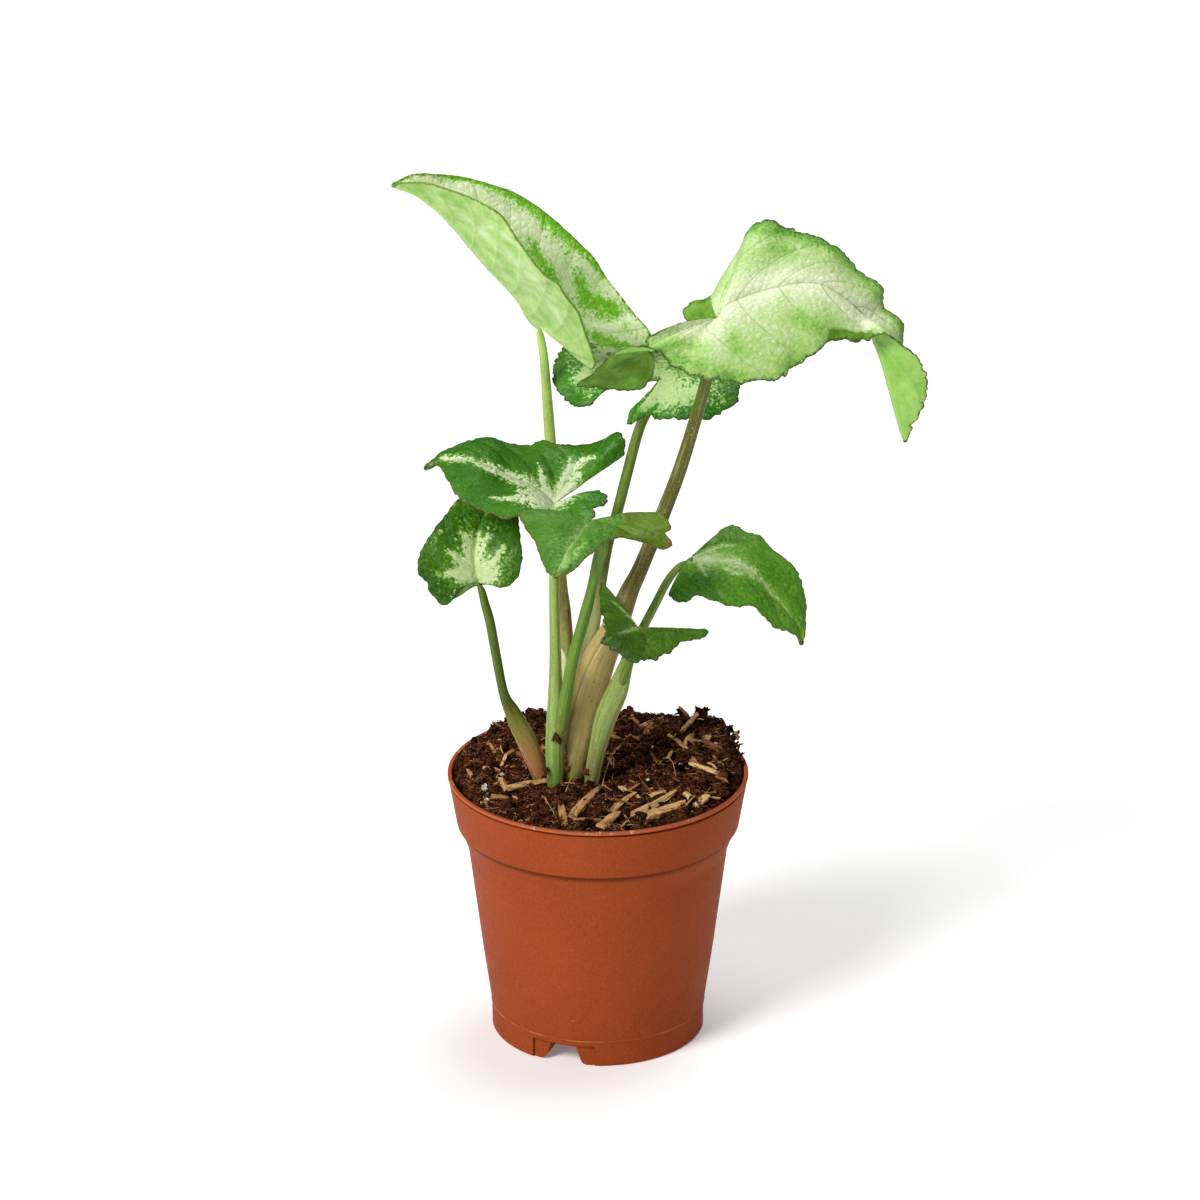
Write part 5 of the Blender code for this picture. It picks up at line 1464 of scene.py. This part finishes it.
def turned(name, profile, steps):
    """A profile of radius and height turned about the Z axis."""
    mesh = bpy.data.meshes.new(name)
    points = [(radius * MM, 0, height * MM) for radius, height in profile]
    mesh.from_pydata(points, [(i, i + 1) for i in range(len(points) - 1)], [])
    obj = link(name, mesh)
    screw = obj.modifiers.new("Turn", "SCREW")
    screw.steps = steps
    screw.render_steps = steps
    screw.use_merge_vertices = True
    screw.merge_threshold = 0.00001
    settle(obj)
    face_outwards(obj)
    return obj


def prism(name, outline, start, end, angle):
    """A closed body with this outline of side and height, from start to end outwards, at this angle."""
    bm = bmesh.new()
    turn = math.radians(angle)
    rings = []
    for out in (start, end):
        ring = []
        for side, height in outline:
            x = out * math.cos(turn) - side * math.sin(turn)
            y = out * math.sin(turn) + side * math.cos(turn)
            ring.append(bm.verts.new((x * MM, y * MM, height * MM)))
        rings.append(ring)
    inner, outer = rings
    for index in range(len(outline)):
        after = (index + 1) % len(outline)
        bm.faces.new((inner[index], inner[after], outer[after], outer[index]))
    bm.faces.new(list(reversed(inner)))
    bm.faces.new(outer)
    mesh = bpy.data.meshes.new(name)
    bm.to_mesh(mesh)
    bm.free()
    obj = link(name, mesh)
    face_outwards(obj)
    return obj


def drain_hole(angle):
    """The notch in the pot's foot: sloping sides that flare out round its lower corners."""
    top = DRAIN_TOP_WIDTH / 2
    foot = DRAIN_FOOT_WIDTH / 2
    flare = [(foot - 1.35, 2.0), (foot - 1.1, 1.2), (foot - 0.7, 0.6), (foot - 0.15, 0.2), (foot + 0.5, 0.0)]
    right = [(top, DRAIN_HEIGHT), *flare, (foot + 0.5, -1)]
    left = [(-side, height) for side, height in reversed(right)]
    return prism("drain", right + left, DRAIN_INNER_RADIUS + WALL, RIM_RADIUS, angle)


def drain_pocket(angle):
    """The floor's part above a drain notch, one wall thicker than the notch."""
    top = DRAIN_TOP_WIDTH / 2 + WALL
    foot = DRAIN_FOOT_WIDTH / 2 + WALL
    high = DRAIN_HEIGHT + WALL
    outline = [(top, high), (foot, FLOOR / 2), (-foot, FLOOR / 2), (-top, high)]
    return prism("pocket", outline, DRAIN_INNER_RADIUS, FOOT_RADIUS - 0.8, angle)


def recess_cutter(angle):
    half = RECESS_WIDTH / 2
    outline = [(half, -1), (half, RECESS_HEIGHT), (-half, RECESS_HEIGHT), (-half, -1)]
    cutter = prism("recess", outline, FOOT_RADIUS - 6, FOOT_RADIUS + 4, angle)
    top = RECESS_HEIGHT + 2
    radius = FOOT_RADIUS + FOOT_RIM - RECESS_DEPTH
    core = turned("core", [(0, top), (radius, top), (radius, -2), (0, -2)], POT_STEPS)
    boolean(cutter, [core], "DIFFERENCE")
    return cutter


def boolean(obj, others, operation):
    """One Boolean with a list of objects, applied."""
    group = bpy.data.collections.new("cutters")
    bpy.context.scene.collection.children.link(group)
    for other in others:
        for owner in list(other.users_collection):
            owner.objects.unlink(other)
        group.objects.link(other)
    change = obj.modifiers.new(operation.title(), "BOOLEAN")
    change.operation = operation
    change.operand_type = "COLLECTION"
    change.collection = group
    change.solver = "EXACT"
    bpy.context.view_layer.update()
    settle(obj)
    for other in list(group.objects):
        bpy.data.objects.remove(other, do_unlink=True)
    bpy.data.collections.remove(group)


def make_pot():
    pot = turned("pot_fine", pot_profile(), POT_STEPS)
    pockets = []
    holes = []
    for index in range(DRAINS):
        angle = FIRST_DRAIN_ANGLE + 360 / DRAINS * index
        pockets.append(drain_pocket(angle))
        holes.append(drain_hole(angle))
        holes.append(recess_cutter(angle))
    boolean(pot, pockets, "UNION")
    boolean(pot, holes, "DIFFERENCE")
    pot.data.materials.clear()
    pot.data.materials.append(pot_plastic())
    shade_smooth(pot)
    pot.data.set_sharp_from_angle(angle=math.radians(38))
    stand_for(pot, "pot")


def line_round(paint, height, level, width, strength):
    """A soft line round the pot at one height in millimetres."""
    off = paint.math("ABSOLUTE", paint.less(height, level * MM))
    return paint.fade(off, width * 0.35 * MM, width * MM, strength, 0.0)


def moulded_colour(paint, dust, grain):
    """Terracotta colour, a little uneven, with light and dark grains."""
    cloud = paint.noise(22, 3, 0.5, seed=2)
    colour = paint.ramp(cloud, [(0.3, (148, 64, 27)), (0.7, (156, 70, 31))])
    colour = paint.mix(paint.fade(dust, 0.55, 0.8, 0.0, 0.16), colour, (190, 104, 60))
    colour = paint.mix(paint.fade(dust, 0.45, 0.25, 0.0, 0.2), colour, (120, 44, 12))
    colour = paint.mix(paint.fade(grain, 0.45, 0.3, 0.0, 0.4), colour, (104, 40, 14))
    return paint.mix(paint.fade(grain, 0.55, 0.7, 0.0, 0.22), colour, (196, 110, 70))


def painted_light_and_groove_shade(paint, colour, height):
    """Painted highlight on the lip; painted shade under the lip, in the step under the band and over the
    recesses.
    """
    # A light line along the top of the lip: painted highlight.
    colour = paint.mix(line_round(paint, height, POT_HEIGHT - 0.35, 0.5, 0.3), colour, (222, 132, 92))
    # A dark line under the lip's bead: painted shade.
    colour = paint.mix(line_round(paint, height, POT_HEIGHT - 1.2, 0.34, 0.8), colour, (66, 22, 6))
    # Dark in the step under the band: painted shade.
    band = BAND_BOTTOM_HEIGHT
    band_step_shade = paint.fade(height, (band - 0.9) * MM, (band + 0.9) * MM, 0.0, 0.7)
    below_step = paint.fade(height, (band + 1.32) * MM, (band + 1.44) * MM, 1.0, 0.0)
    colour = paint.mix(paint.times(band_step_shade, below_step), colour, PAINTED_GROOVE_SHADE)
    # Dark under the top edge of each recess in the foot: painted shade.
    flat = paint.node("VectorMath", operation="LENGTH")
    paint.put(flat.inputs[0], paint.stretch(paint.place, (1, 1, 0)))
    radius = flat.outputs["Value"]
    in_recess = paint.fade(radius, (FOOT_RADIUS - 0.2) * MM, (FOOT_RADIUS - 0.05) * MM, 1.0, 0.0)
    recess_top_shade = paint.times(line_round(paint, height, RECESS_HEIGHT - 0.1, 0.42, 0.8), in_recess)
    return paint.mix(recess_top_shade, colour, PAINTED_GROOVE_SHADE)


def pot_wear_and_glints(paint, colour, height):
    """Wear and painted glints on the lip, a painted highlight on the mould line above the foot, and a few
    scuffs.
    """
    rare = paint.noise(9, 2, 0.5, seed=9)
    glint_and_wear_spots = paint.noise(1.1, 3, 0.7, place=paint.stretch(paint.place, (1000, 1000, 200)), seed=15)
    # Pale spots along the lip: partly wear, partly painted glints of light.
    lip_glints_and_wear = line_round(paint, height, POT_HEIGHT - 0.3, 0.55, 1.0)
    lip_glints_and_wear = paint.times(lip_glints_and_wear, paint.fade(glint_and_wear_spots, 0.54, 0.66, 0.0, 0.75))
    lip_glints_and_wear = paint.times(lip_glints_and_wear, paint.fade(rare, 0.52, 0.64))
    colour = paint.mix(lip_glints_and_wear, colour, (236, 196, 172))
    # A light line on the mould line's ridge: painted highlight.
    mould_line_highlight = line_round(paint, height, FOOT_LINE_HEIGHT + 0.76, 0.24, 1.0)
    mould_line_highlight = paint.times(mould_line_highlight, paint.fade(rare, 0.45, 0.62, 0.1, 0.6))
    colour = paint.mix(mould_line_highlight, colour, (214, 130, 90))
    scuff = paint.noise(1.6, 2, 0.7, place=paint.stretch(paint.place, (400, 400, 1600)), seed=7)
    scuffs = paint.times(paint.fade(scuff, 0.7, 0.74), paint.fade(rare, 0.57, 0.63))
    return paint.mix(paint.times(scuffs, 0.4), colour, (226, 170, 136))


def pot_plastic():
    """Moulded terracotta plastic with a fine grain, wear and painted glints on the lip, and painted shade in
    its grooves.
    """
    paint = Paint("pot_plastic_fine", 0.62, 0.06)
    split = paint.node("SeparateXYZ")
    paint.put(split.inputs[0], paint.place)
    height = split.outputs["Z"]
    dust = paint.noise(2.6, 4, 0.65, seed=5)
    grain = paint.noise(0.36, 2, 0.55, seed=11)
    colour = moulded_colour(paint, dust, grain)
    colour = painted_light_and_groove_shade(paint, colour, height)
    colour = pot_wear_and_glints(paint, colour, height)
    normal = paint.bump(grain, 0.14, 0.9)
    normal = paint.bump(paint.noise(6, 2, 0.5, seed=12), 0.25, 0.4, onto=normal)
    roughness = paint.fade(dust, 0.3, 0.7, 0.52, 0.66)
    return paint.finish(colour, normal, roughness)


# Soil
def soil_height(x, y):
    """The soil's surface in millimetres: just under the rim in front and heaped at the back."""
    edge = inner_radius(POT_HEIGHT)
    share = min(1, math.hypot(x, y) / edge)
    height = SOIL_MIDDLE_HEIGHT + (SOIL_EDGE_HEIGHT - SOIL_MIDDLE_HEIGHT) * share ** 2.2
    height += SOIL_TILT * y / edge
    for heap_x, heap_y, rise, radius in HEAPS:
        apart = math.hypot(x - heap_x, y - heap_y) / radius
        height += rise * math.exp(-apart * apart)
    lumps = 0.55 * math.sin(0.55 * x + 1.1) * math.sin(0.5 * y - 0.4)
    lumps += 0.45 * math.sin(0.95 * x - 0.8 * y + 0.7)
    lumps += 0.35 * math.sin(1.3 * y + 0.9 * x + 2.1) * math.cos(0.7 * x)
    return height + lumps * (1 - share ** 8)


def rough_height(x, y):
    """The same surface with its clumps, crumbs and pits, and a gap inside the rim at the front."""
    place = Vector((x, y, 0))
    rise = 1.9 * (0.45 - abs(noise.noise(place / 5.2 + Vector((3, 1, 2)))) * 1.6)
    rise += 1.1 * noise.noise(place / 2.3 + Vector((7, 3, 1)))
    rise += 0.7 * abs(noise.noise(place / 1.1 + Vector((1, 9, 4))))
    rise += 0.35 * noise.noise(place / 0.5 + Vector((5, 2, 8)))
    for heap_x, heap_y, more, wide in RIM_HEAPS:
        rise += more * math.exp(-(math.hypot(x - heap_x, y - heap_y) / wide) ** 2)
    radius = math.hypot(x, y)
    front = max(0.0, -y / max(radius, 0.1))
    edge = inner_radius(SOIL_EDGE_HEIGHT)
    rim_gap = RIM_SINK * front * smooth_step(radius, edge - 4.5, edge - 1)
    return soil_height(x, y) + rise - 0.75 - rim_gap


def on_soil(across, down):
    """The point of the soil's surface on a line of sight."""
    behind = 0.0
    for _ in range(20):
        x, y, z = seen([(across, down, behind)])[0]
        behind -= soil_height(x, y) - z
    return Vector((x, y, soil_height(x, y)))


def chip_ends(x0, y0, x1, y1):
    """Both ends of a chip. One whose line of sight passes over the soil stands up above the other."""
    ends = [on_soil(x0, y0), on_soil(x1, y1)]
    edge = inner_radius(SOIL_EDGE_HEIGHT) - 1
    for this, (across, down) in enumerate(((x0, y0), (x1, y1))):
        if math.hypot(ends[this].x, ends[this].y) > edge:
            ends[this] = Vector(seen([(across, down, ends[1 - this].y)])[0])
    return ends


def soil_surface():
    edge = inner_radius(SOIL_EDGE_HEIGHT - 2) - SOIL_GAP
    places = [(0, 0, rough_height(0, 0))]
    tones = [0.5]
    faces = []
    for ring in range(1, SOIL_RINGS + 1):
        radius = edge * ring / SOIL_RINGS
        for step in range(SOIL_STEPS):
            angle = 2 * math.pi * step / SOIL_STEPS
            x = radius * math.cos(angle)
            y = radius * math.sin(angle)
            places.append((x, y, rough_height(x, y)))
            tones.append(0.5 + 0.5 * noise.noise(Vector((x, y, 5)) / 2.2))
            this = 1 + (ring - 1) * SOIL_STEPS + step
            beside = 1 + (ring - 1) * SOIL_STEPS + (step + 1) % SOIL_STEPS
            if ring == 1:
                faces.append((0, this, beside))
            else:
                faces.append((this - SOIL_STEPS, this, beside, beside - SOIL_STEPS))
    rim = len(places) - SOIL_STEPS
    bottom = len(places)
    for step in range(SOIL_STEPS):
        x, y, _ = places[rim + step]
        places.append((x * 0.985, y * 0.985, SOIL_EDGE_HEIGHT - 8))
        tones.append(0.4)
        after = (step + 1) % SOIL_STEPS
        faces.append((rim + step, bottom + step, bottom + after, rim + after))
    faces.append(tuple(bottom + step for step in range(SOIL_STEPS)))
    return places, faces, tones


def ball(subdivisions):
    """The corners and faces of a ball of radius 1."""
    bm = bmesh.new()
    bmesh.ops.create_icosphere(bm, subdivisions=subdivisions, radius=1)
    corners = [vert.co.copy() for vert in bm.verts]
    faces = [tuple(vert.index for vert in face.verts) for face in bm.faces]
    bm.free()
    return corners, faces


CRUMB_BALL = ball(1)
CLOD_BALL = ball(3)


def tube_faces(rings, sides):
    """The faces of a closed tube of rings of points."""
    faces = []
    for ring_number in range(rings - 1):
        low = ring_number * sides
        for side in range(sides):
            after = (side + 1) % sides
            faces.append((low + side, low + after, low + sides + after, low + sides + side))
    faces.append(tuple(reversed(range(sides))))
    faces.append(tuple(range((rings - 1) * sides, rings * sides)))
    return faces


# A splinter's section, in halves of its width and thickness
CHIP_CORNERS = ((-1, -0.6), (-0.75, 0.7), (-0.2, 1.0), (0.35, 0.8), (0.9, 0.5), (1, -0.5), (0.2, -1.0))


class Heap:
    """Gathers many small bodies into one mesh, with a tone and a place in the grain at every vertex."""

    def __init__(self):
        self.places = []
        self.faces = []
        self.tones = []
        self.grain = []

    def add(self, places, faces, tone, grain=None):
        first = len(self.places)
        self.places += [tuple(place) for place in places]
        self.faces += [tuple(first + index for index in face) for face in faces]
        self.tones += [tone] * len(places)
        self.grain += grain or [tuple(place) for place in places]

    def lump(self, centre, sizes, tone, draw):
        turn = Vector([draw.uniform(-1, 1) for _ in range(3)]).normalized().to_track_quat("Z", "Y")
        places = []
        for corner in CRUMB_BALL[0]:
            stretch = draw.uniform(0.6, 1.3)
            offset = Vector(corner[axis] * sizes[axis] * stretch for axis in range(3))
            places.append(Vector(centre) + turn @ offset)
        self.add(places, CRUMB_BALL[1], tone)

    def clod(self, centre, size, tone, draw):
        """A ragged clump, pitted and spiky all over."""
        shift = Vector([draw.uniform(-50, 50) for _ in range(3)])
        places = []
        for corner in CLOD_BALL[0]:
            rough = 0.5 + 0.7 * noise.noise(corner * 1.3 + shift)
            rough += 1.2 * abs(noise.noise(corner * 3.1 + shift))
            rough += 0.9 * abs(noise.noise(corner * 6 + shift))
            places.append(Vector(centre) + corner * size * max(0.25, rough))
        self.add(places, CLOD_BALL[1], tone)

    def shreds(self, centre, size, tone, draw):
        """A tangle of torn flat bits that stick out all round."""
        for _ in range(7):
            away = Vector((draw.uniform(-1, 1), draw.uniform(-1, 1), draw.uniform(-0.5, 0.9))).normalized()
            middle = Vector(centre) + Vector([draw.uniform(-0.45, 0.45) * size for _ in range(3)])
            reach = away * size * draw.uniform(0.5, 1.1)
            width = size * draw.uniform(0.3, 0.7)
            self.chip(middle - reach, middle + reach, width, size * 0.3, tone, draw, 4)

    def fibre(self, path, radius, tone):
        """A three-sided thread that tapers towards its end."""
        places = []
        last = len(path) - 1
        for index, point in enumerate(path):
            ahead = (path[min(index + 1, last)] - path[max(index - 1, 0)]).normalized()
            side = ahead.orthogonal().normalized()
            other = ahead.cross(side)
            thin = radius * (1 - 0.6 * index / last)
            for turn in (0, 2 * math.pi / 3, 4 * math.pi / 3):
                places.append(point + side * math.cos(turn) * thin + other * math.sin(turn) * thin)
        self.add(places, tube_faces(len(path), 3), tone)

    def chip(self, start, end, width, thick, tone, draw, sections=CHIP_SECTIONS):
        """A splinter of wood with torn ends, a little bent and split along its grain."""
        along = end - start
        length = along.length
        ahead = along.normalized()
        side = along.cross(Vector((0, 0, 1))).normalized()
        rise = side.cross(along).normalized()
        bend = draw.uniform(-0.04, 0.04) * length
        arch = draw.uniform(0.0, 0.04) * length
        blunt = [draw.uniform(0.45, 1.0), draw.uniform(0.3, 0.9)]
        tears = [[draw.uniform(-0.09, 0.09) * length for _ in CHIP_CORNERS] for _ in range(2)]
        tear_at = {0: tears[0], sections: tears[1]}
        untorn = [0.0] * len(CHIP_CORNERS)
        edges = [1.0] * len(CHIP_CORNERS)
        places = []
        grain = []
        for section in range(sections + 1):
            share = section / sections
            start_width = blunt[0] + (1 - blunt[0]) * min(1, share / 0.3)
            end_width = blunt[1] + (1 - blunt[1]) * min(1, (1 - share) / 0.35)
            wide = min(start_width, end_width)
            bow = math.sin(math.pi * share)
            centre = start + along * share + side * bend * bow + rise * arch * bow
            tear = tear_at.get(section, untorn)
            for index, (out, up) in enumerate(CHIP_CORNERS):
                edges[index] = min(1.2, max(0.62, edges[index] + draw.uniform(-0.18, 0.18)))
                across = out * width / 2 * wide * edges[index]
                above = up * thick / 2 * (0.5 + 0.5 * wide) * edges[index]
                places.append(centre + side * across + rise * above + ahead * tear[index])
                grain.append((across * 3 + tone * 50, above * 3, share * length * 0.15))
        self.add(places, tube_faces(sections + 1, len(CHIP_CORNERS)), tone, grain)

    def finish(self, name, made, smooth=True):
        mesh = bpy.data.meshes.new(name)
        mesh.from_pydata([(x * MM, y * MM, z * MM) for x, y, z in self.places], [], self.faces)
        add_numbers(mesh, "tone", self.tones)
        add_vectors(mesh, "grain", self.grain)
        mesh.materials.append(made)
        obj = link(name, mesh)
        face_outwards(obj)
        if smooth:
            shade_smooth(obj)
        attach(obj, "root")
        return obj


def stem_foot(points):
    """Where a stem's last point stands, in millimetres from the pot's axis, and half its width."""
    x, y, _ = seen([points[-1][:3]])[0]
    return x, y, points[-1][3] / 2


STEM_FEET = [stem_foot(look["points"]) for look in STEM_PLAN.values()]


def random_spot(draw, reach):
    angle = draw.uniform(0, 2 * math.pi)
    radius = reach * math.sqrt(draw.uniform(0, 1))
    return radius * math.cos(angle), radius * math.sin(angle)


def clear_of_stems(x, y, size):
    return all(math.hypot(x - foot_x, y - foot_y) > half + size for foot_x, foot_y, half in STEM_FEET)


def add_clods(crumbs, draw, reach):
    """Ragged clumps, most of them in the rear half, and none where a stem stands."""
    for number in range(CLODS):
        x, y = random_spot(draw, reach - 2.5)
        if number % 3:
            y = abs(y)
        size = draw.uniform(0.7, 1.7)
        if clear_of_stems(x, y, size):
            centre = (x, y, rough_height(x, y) + size * draw.uniform(-0.1, 0.4))
            made = crumbs.clod if number % 4 == 0 else crumbs.shreds
            made(centre, size, draw.uniform(0.2, 0.9), draw)


def make_crumbs(draw, reach):
    crumbs = Heap()
    for _ in range(CRUMBS):
        x, y = random_spot(draw, reach)
        size = draw.choice(CRUMB_SIZES)
        height = rough_height(x, y) + size * draw.uniform(-0.3, 0.45)
        sizes = (size, size * draw.uniform(0.5, 1.0), size * draw.uniform(0.35, 0.8))
        crumbs.lump((x, y, height), sizes, draw.uniform(0.1, 0.9), draw)
    add_clods(crumbs, draw, reach)
    for across, down, behind, size in SKYLINE:
        crumbs.shreds(seen([(across, down, behind)])[0], size, draw.uniform(0.1, 0.8), draw)
    crumbs.finish("soil_crumbs", peat(), smooth=False)


def lying_thread(draw, reach):
    """The points of a curled thread on the soil, as far as it stays inside the pot."""
    x, y = random_spot(draw, reach - 1)
    start = Vector((x, y, rough_height(x, y) + 0.1))
    turn = draw.uniform(0, 2 * math.pi)
    length = draw.choice(FIBRE_LENGTHS)
    curl = draw.uniform(-2.8, 2.8)
    lift = draw.uniform(0.0, 0.9)
    path = []
    for step in range(FIBRE_POINTS):
        share = step / (FIBRE_POINTS - 1)
        angle = turn + curl * share
        away = Vector((math.cos(angle), math.sin(angle), 0)) * length * share
        away.z = lift * math.sin(2.4 * share) + draw.uniform(-0.12, 0.12)
        point = start + away
        if math.hypot(point.x, point.y) > reach:
            break
        path.append(point)
    return path


def make_fibres(draw, reach):
    """Threads all over the soil, the loops of the picture, and the soil that clings to the stalks."""
    fibres = Heap()
    for _ in range(FIBRES):
        path = lying_thread(draw, reach)
        if len(path) > 2:
            fibres.fibre(path, draw.uniform(0.06, 0.15), draw.uniform(0, 1) ** 1.4)
    for points in LOOPS:
        path = [on_soil(across, down) + Vector((0, 0, rise)) for across, down, rise in points]
        middle = on_curve(np.array(path), np.linspace(0, len(path) - 1, LOOP_POINTS))
        fibres.fibre([Vector(point) for point in middle], 0.16, 0.95)
    for across, down, behind, size in CLINGING:
        fibres.clod(seen([(across, down, behind)])[0], size, draw.uniform(0.05, 0.4), draw)
    fibres.finish("soil_fibres", fibre_skin())


def add_seen_chips(chips, draw):
    """The larger chips of the picture, laid on the soil or with an end that stands up from it."""
    for x0, y0, x1, y1, width, thick in CHIPS:
        ends = chip_ends(x0, y0, x1, y1)
        for end in ends:
            end.z = max(end.z, rough_height(end.x, end.y)) + CHIP_LIFT
        chips.chip(*ends, width, thick, draw.uniform(0.15, 1), draw)


def add_hidden_chips(chips, draw):
    """More large chips, on the rear half of the soil, placed by a draw of their own."""
    own_draw = random.Random(CHIP_SEED)
    edge = inner_radius(SOIL_EDGE_HEIGHT) - 4.5
    made = 0
    while made < MORE_CHIPS:
        angle = own_draw.uniform(10, 170)
        radius = edge * math.sqrt(own_draw.uniform(0.15, 1))
        turn_by = own_draw.uniform(0, 2 * math.pi)
        length = own_draw.uniform(3.5, 6.5)
        x = radius * math.cos(math.radians(angle))
        y = radius * math.sin(math.radians(angle))
        start = Vector((x, y, soil_height(x, y) + CHIP_LIFT))
        x += length * math.cos(turn_by)
        y += length * math.sin(turn_by)
        if math.hypot(x, y) > edge:
            continue
        end = Vector((x, y, soil_height(x, y) + CHIP_LIFT))
        chips.chip(start, end, own_draw.uniform(1.4, 2.2), 1.0, draw.uniform(0, 1), draw)
        made += 1


def add_splinters(chips, draw, reach):
    for _ in range(SMALL_CHIPS):
        x, y = random_spot(draw, reach - 2)
        turn = draw.uniform(0, 2 * math.pi)
        length = draw.uniform(1.2, 5.0)
        start = Vector((x, y, rough_height(x, y) + 0.25))
        away = Vector((math.cos(turn), math.sin(turn), draw.uniform(-0.2, 0.45))) * length
        if math.hypot((start + away).x, (start + away).y) > reach - 1:
            continue
        width = draw.uniform(0.3, 0.95)
        thick = draw.uniform(0.2, 0.5)
        chips.chip(start, start + away, width, thick, draw.uniform(0, 1), draw)


def make_chips(draw, reach):
    chips = Heap()
    add_seen_chips(chips, draw)
    add_hidden_chips(chips, draw)
    add_splinters(chips, draw, reach)
    chips.finish("wood_chips", chip_wood(), smooth=False)


def make_grit(draw):
    grit = Heap()
    for across, down, size in PERLITE:
        centre = on_soil(across, down) + Vector((0, 0, 0.6))
        grit.clod(centre, size * 0.75, draw.uniform(0, 1), draw)
    grit.finish("white_grit", grit_stone(), smooth=False)


def make_soil():
    draw = random.Random(SOIL_SEED)
    reach = inner_radius(SOIL_EDGE_HEIGHT) - 1.2
    soil = Heap()
    places, faces, tones = soil_surface()
    soil.add(places, faces, 0.5)
    soil.tones = tones
    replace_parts(soil.finish("soil_fine", peat(), smooth=False), "soil")
    make_crumbs(draw, reach)
    make_fibres(draw, reach)
    make_chips(draw, reach)
    make_grit(draw)


def peat():
    """Dark crumbly peat with reddish threads and pale dust of wood in it, and painted shade in its pits."""
    paint = Paint("peat", 0.95, 0.05)
    tone = paint.number("tone")
    small = paint.noise(0.7, 5, 0.72, seed=3)
    value = paint.plus(paint.times(tone, 0.3), paint.times(small, 0.8))
    stops = [(0.34, (22, 11, 8)), (0.5, (55, 31, 20)), (0.66, (100, 56, 37)), (0.84, (150, 90, 59))]
    colour = paint.ramp(value, stops)
    threads = paint.noise(0.5, 2, 0.5, place=paint.stretch(paint.place, (1000, 260, 600)), seed=4)
    colour = paint.mix(paint.fade(threads, 0.58, 0.72, 0.0, 0.6), colour, (146, 82, 50))
    # Near-black patches stand for the shade down in the pits: painted shade.
    pits = paint.noise(2.0, 4, 0.65, seed=6)
    colour = paint.mix(paint.fade(pits, 0.54, 0.36, 0.0, 0.92), colour, (13, 6, 4))
    dust = paint.noise(0.5, 2, 0.6, seed=14)
    colour = paint.mix(paint.fade(dust, 0.66, 0.72, 0.0, 0.8), colour, (196, 150, 100))
    return paint.finish(colour, paint.bump(small, 0.6, 1.0))


def fibre_skin():
    paint = Paint("peat_fibre", 0.85, 0.1)
    stops = [(0.0, (62, 33, 21)), (0.35, (132, 72, 44)), (0.75, (174, 108, 70)), (0.97, (220, 180, 130))]
    colour = paint.ramp(paint.number("tone"), stops)
    return paint.finish(colour, paint.bump(paint.noise(0.4, 2, 0.6), 0.08))


def chip_wood():
    """Pale splinters of wood and bark with their grain along them."""
    paint = Paint("chip_wood", 0.78)
    grain = paint.vector("grain")
    lines = paint.noise(0.9, 3, 0.6, place=grain, seed=1)
    tone = paint.number("tone")
    value = paint.plus(paint.times(tone, 0.42), paint.times(lines, 1.15))
    stops = [(0.42, (60, 33, 18)), (0.62, (136, 86, 46)), (0.84, (196, 144, 84)), (1.0, (236, 196, 138))]
    colour = paint.ramp(value, stops)
    stain = paint.noise(1.4, 4, 0.65, seed=2)
    colour = paint.mix(paint.fade(stain, 0.53, 0.68, 0.0, 0.85), colour, (72, 40, 22))
    return paint.finish(colour, paint.bump(lines, 0.4, 1.0))


def grit_stone():
    paint = Paint("white_grit", 0.8)
    colour = paint.ramp(paint.noise(0.7, 3, 0.6), [(0.35, (196, 188, 174)), (0.6, (244, 242, 236))])
    return paint.finish(colour, paint.bump(paint.noise(0.35, 3, 0.6), 0.2))


# Stage
def make_floor():
    mesh = bpy.data.meshes.new("floor")
    corners = [(x * FLOOR_HALF, y * FLOOR_HALF, 0) for x, y in ((-1, -1), (1, -1), (1, 1), (-1, 1))]
    mesh.from_pydata(corners, [], [(0, 1, 2, 3)])
    floor = link("floor", mesh)
    paint = Paint("floor", 0.6)
    paint.shader.inputs["Emission Color"].default_value = (1, 1, 1, 1)
    paint.shader.inputs["Emission Strength"].default_value = FLOOR_GLOW
    colour = paint.ramp(paint.noise(300, 2), [(0.3, (250, 250, 250)), (0.7, (252, 252, 252))])
    mesh.materials.append(paint.finish(colour))


def area_light(name, place, size, watts):
    light = bpy.data.lights.new(name, "AREA")
    light.shape = "DISK"
    light.size = size
    light.energy = watts
    obj = link(name, light)
    obj.location = place
    obj.rotation_euler = (Vector(LAMPS_AIM) - Vector(place)).to_track_quat("-Z", "Y").to_euler()


def make_stage():
    scene = bpy.context.scene
    make_floor()
    world = bpy.data.worlds.new("studio")
    world.use_nodes = True
    background = world.node_tree.nodes["Background"]
    background.inputs["Color"].default_value = (1, 1, 1, 1)
    background.inputs["Strength"].default_value = WORLD_LIGHT
    scene.world = world
    for name, (place, size, watts) in LAMPS.items():
        area_light(name, place, size, watts)
    scene.view_settings.view_transform = "Standard"
    camera = bpy.data.cameras.new("camera")
    camera.sensor_width = SENSOR_WIDTH
    camera.lens = SENSOR_WIDTH * SIGHT_LENGTH / (2 * PICTURE_MIDDLE * STEP_SIZE)
    camera.clip_end = 20
    obj = link("camera", camera)
    obj.location = EYE * MM
    obj.rotation_euler = Vector(FORWARD).to_track_quat("-Z", "Y").to_euler()
    scene.camera = obj


def build():
    for seed, name in enumerate(LEAVES):
        make_blade(name, seed + 1)
    for seed, name in enumerate(STEM_PLAN):
        make_stem(name, seed + 20)
    make_pot()
    make_soil()
    make_stage()


build()
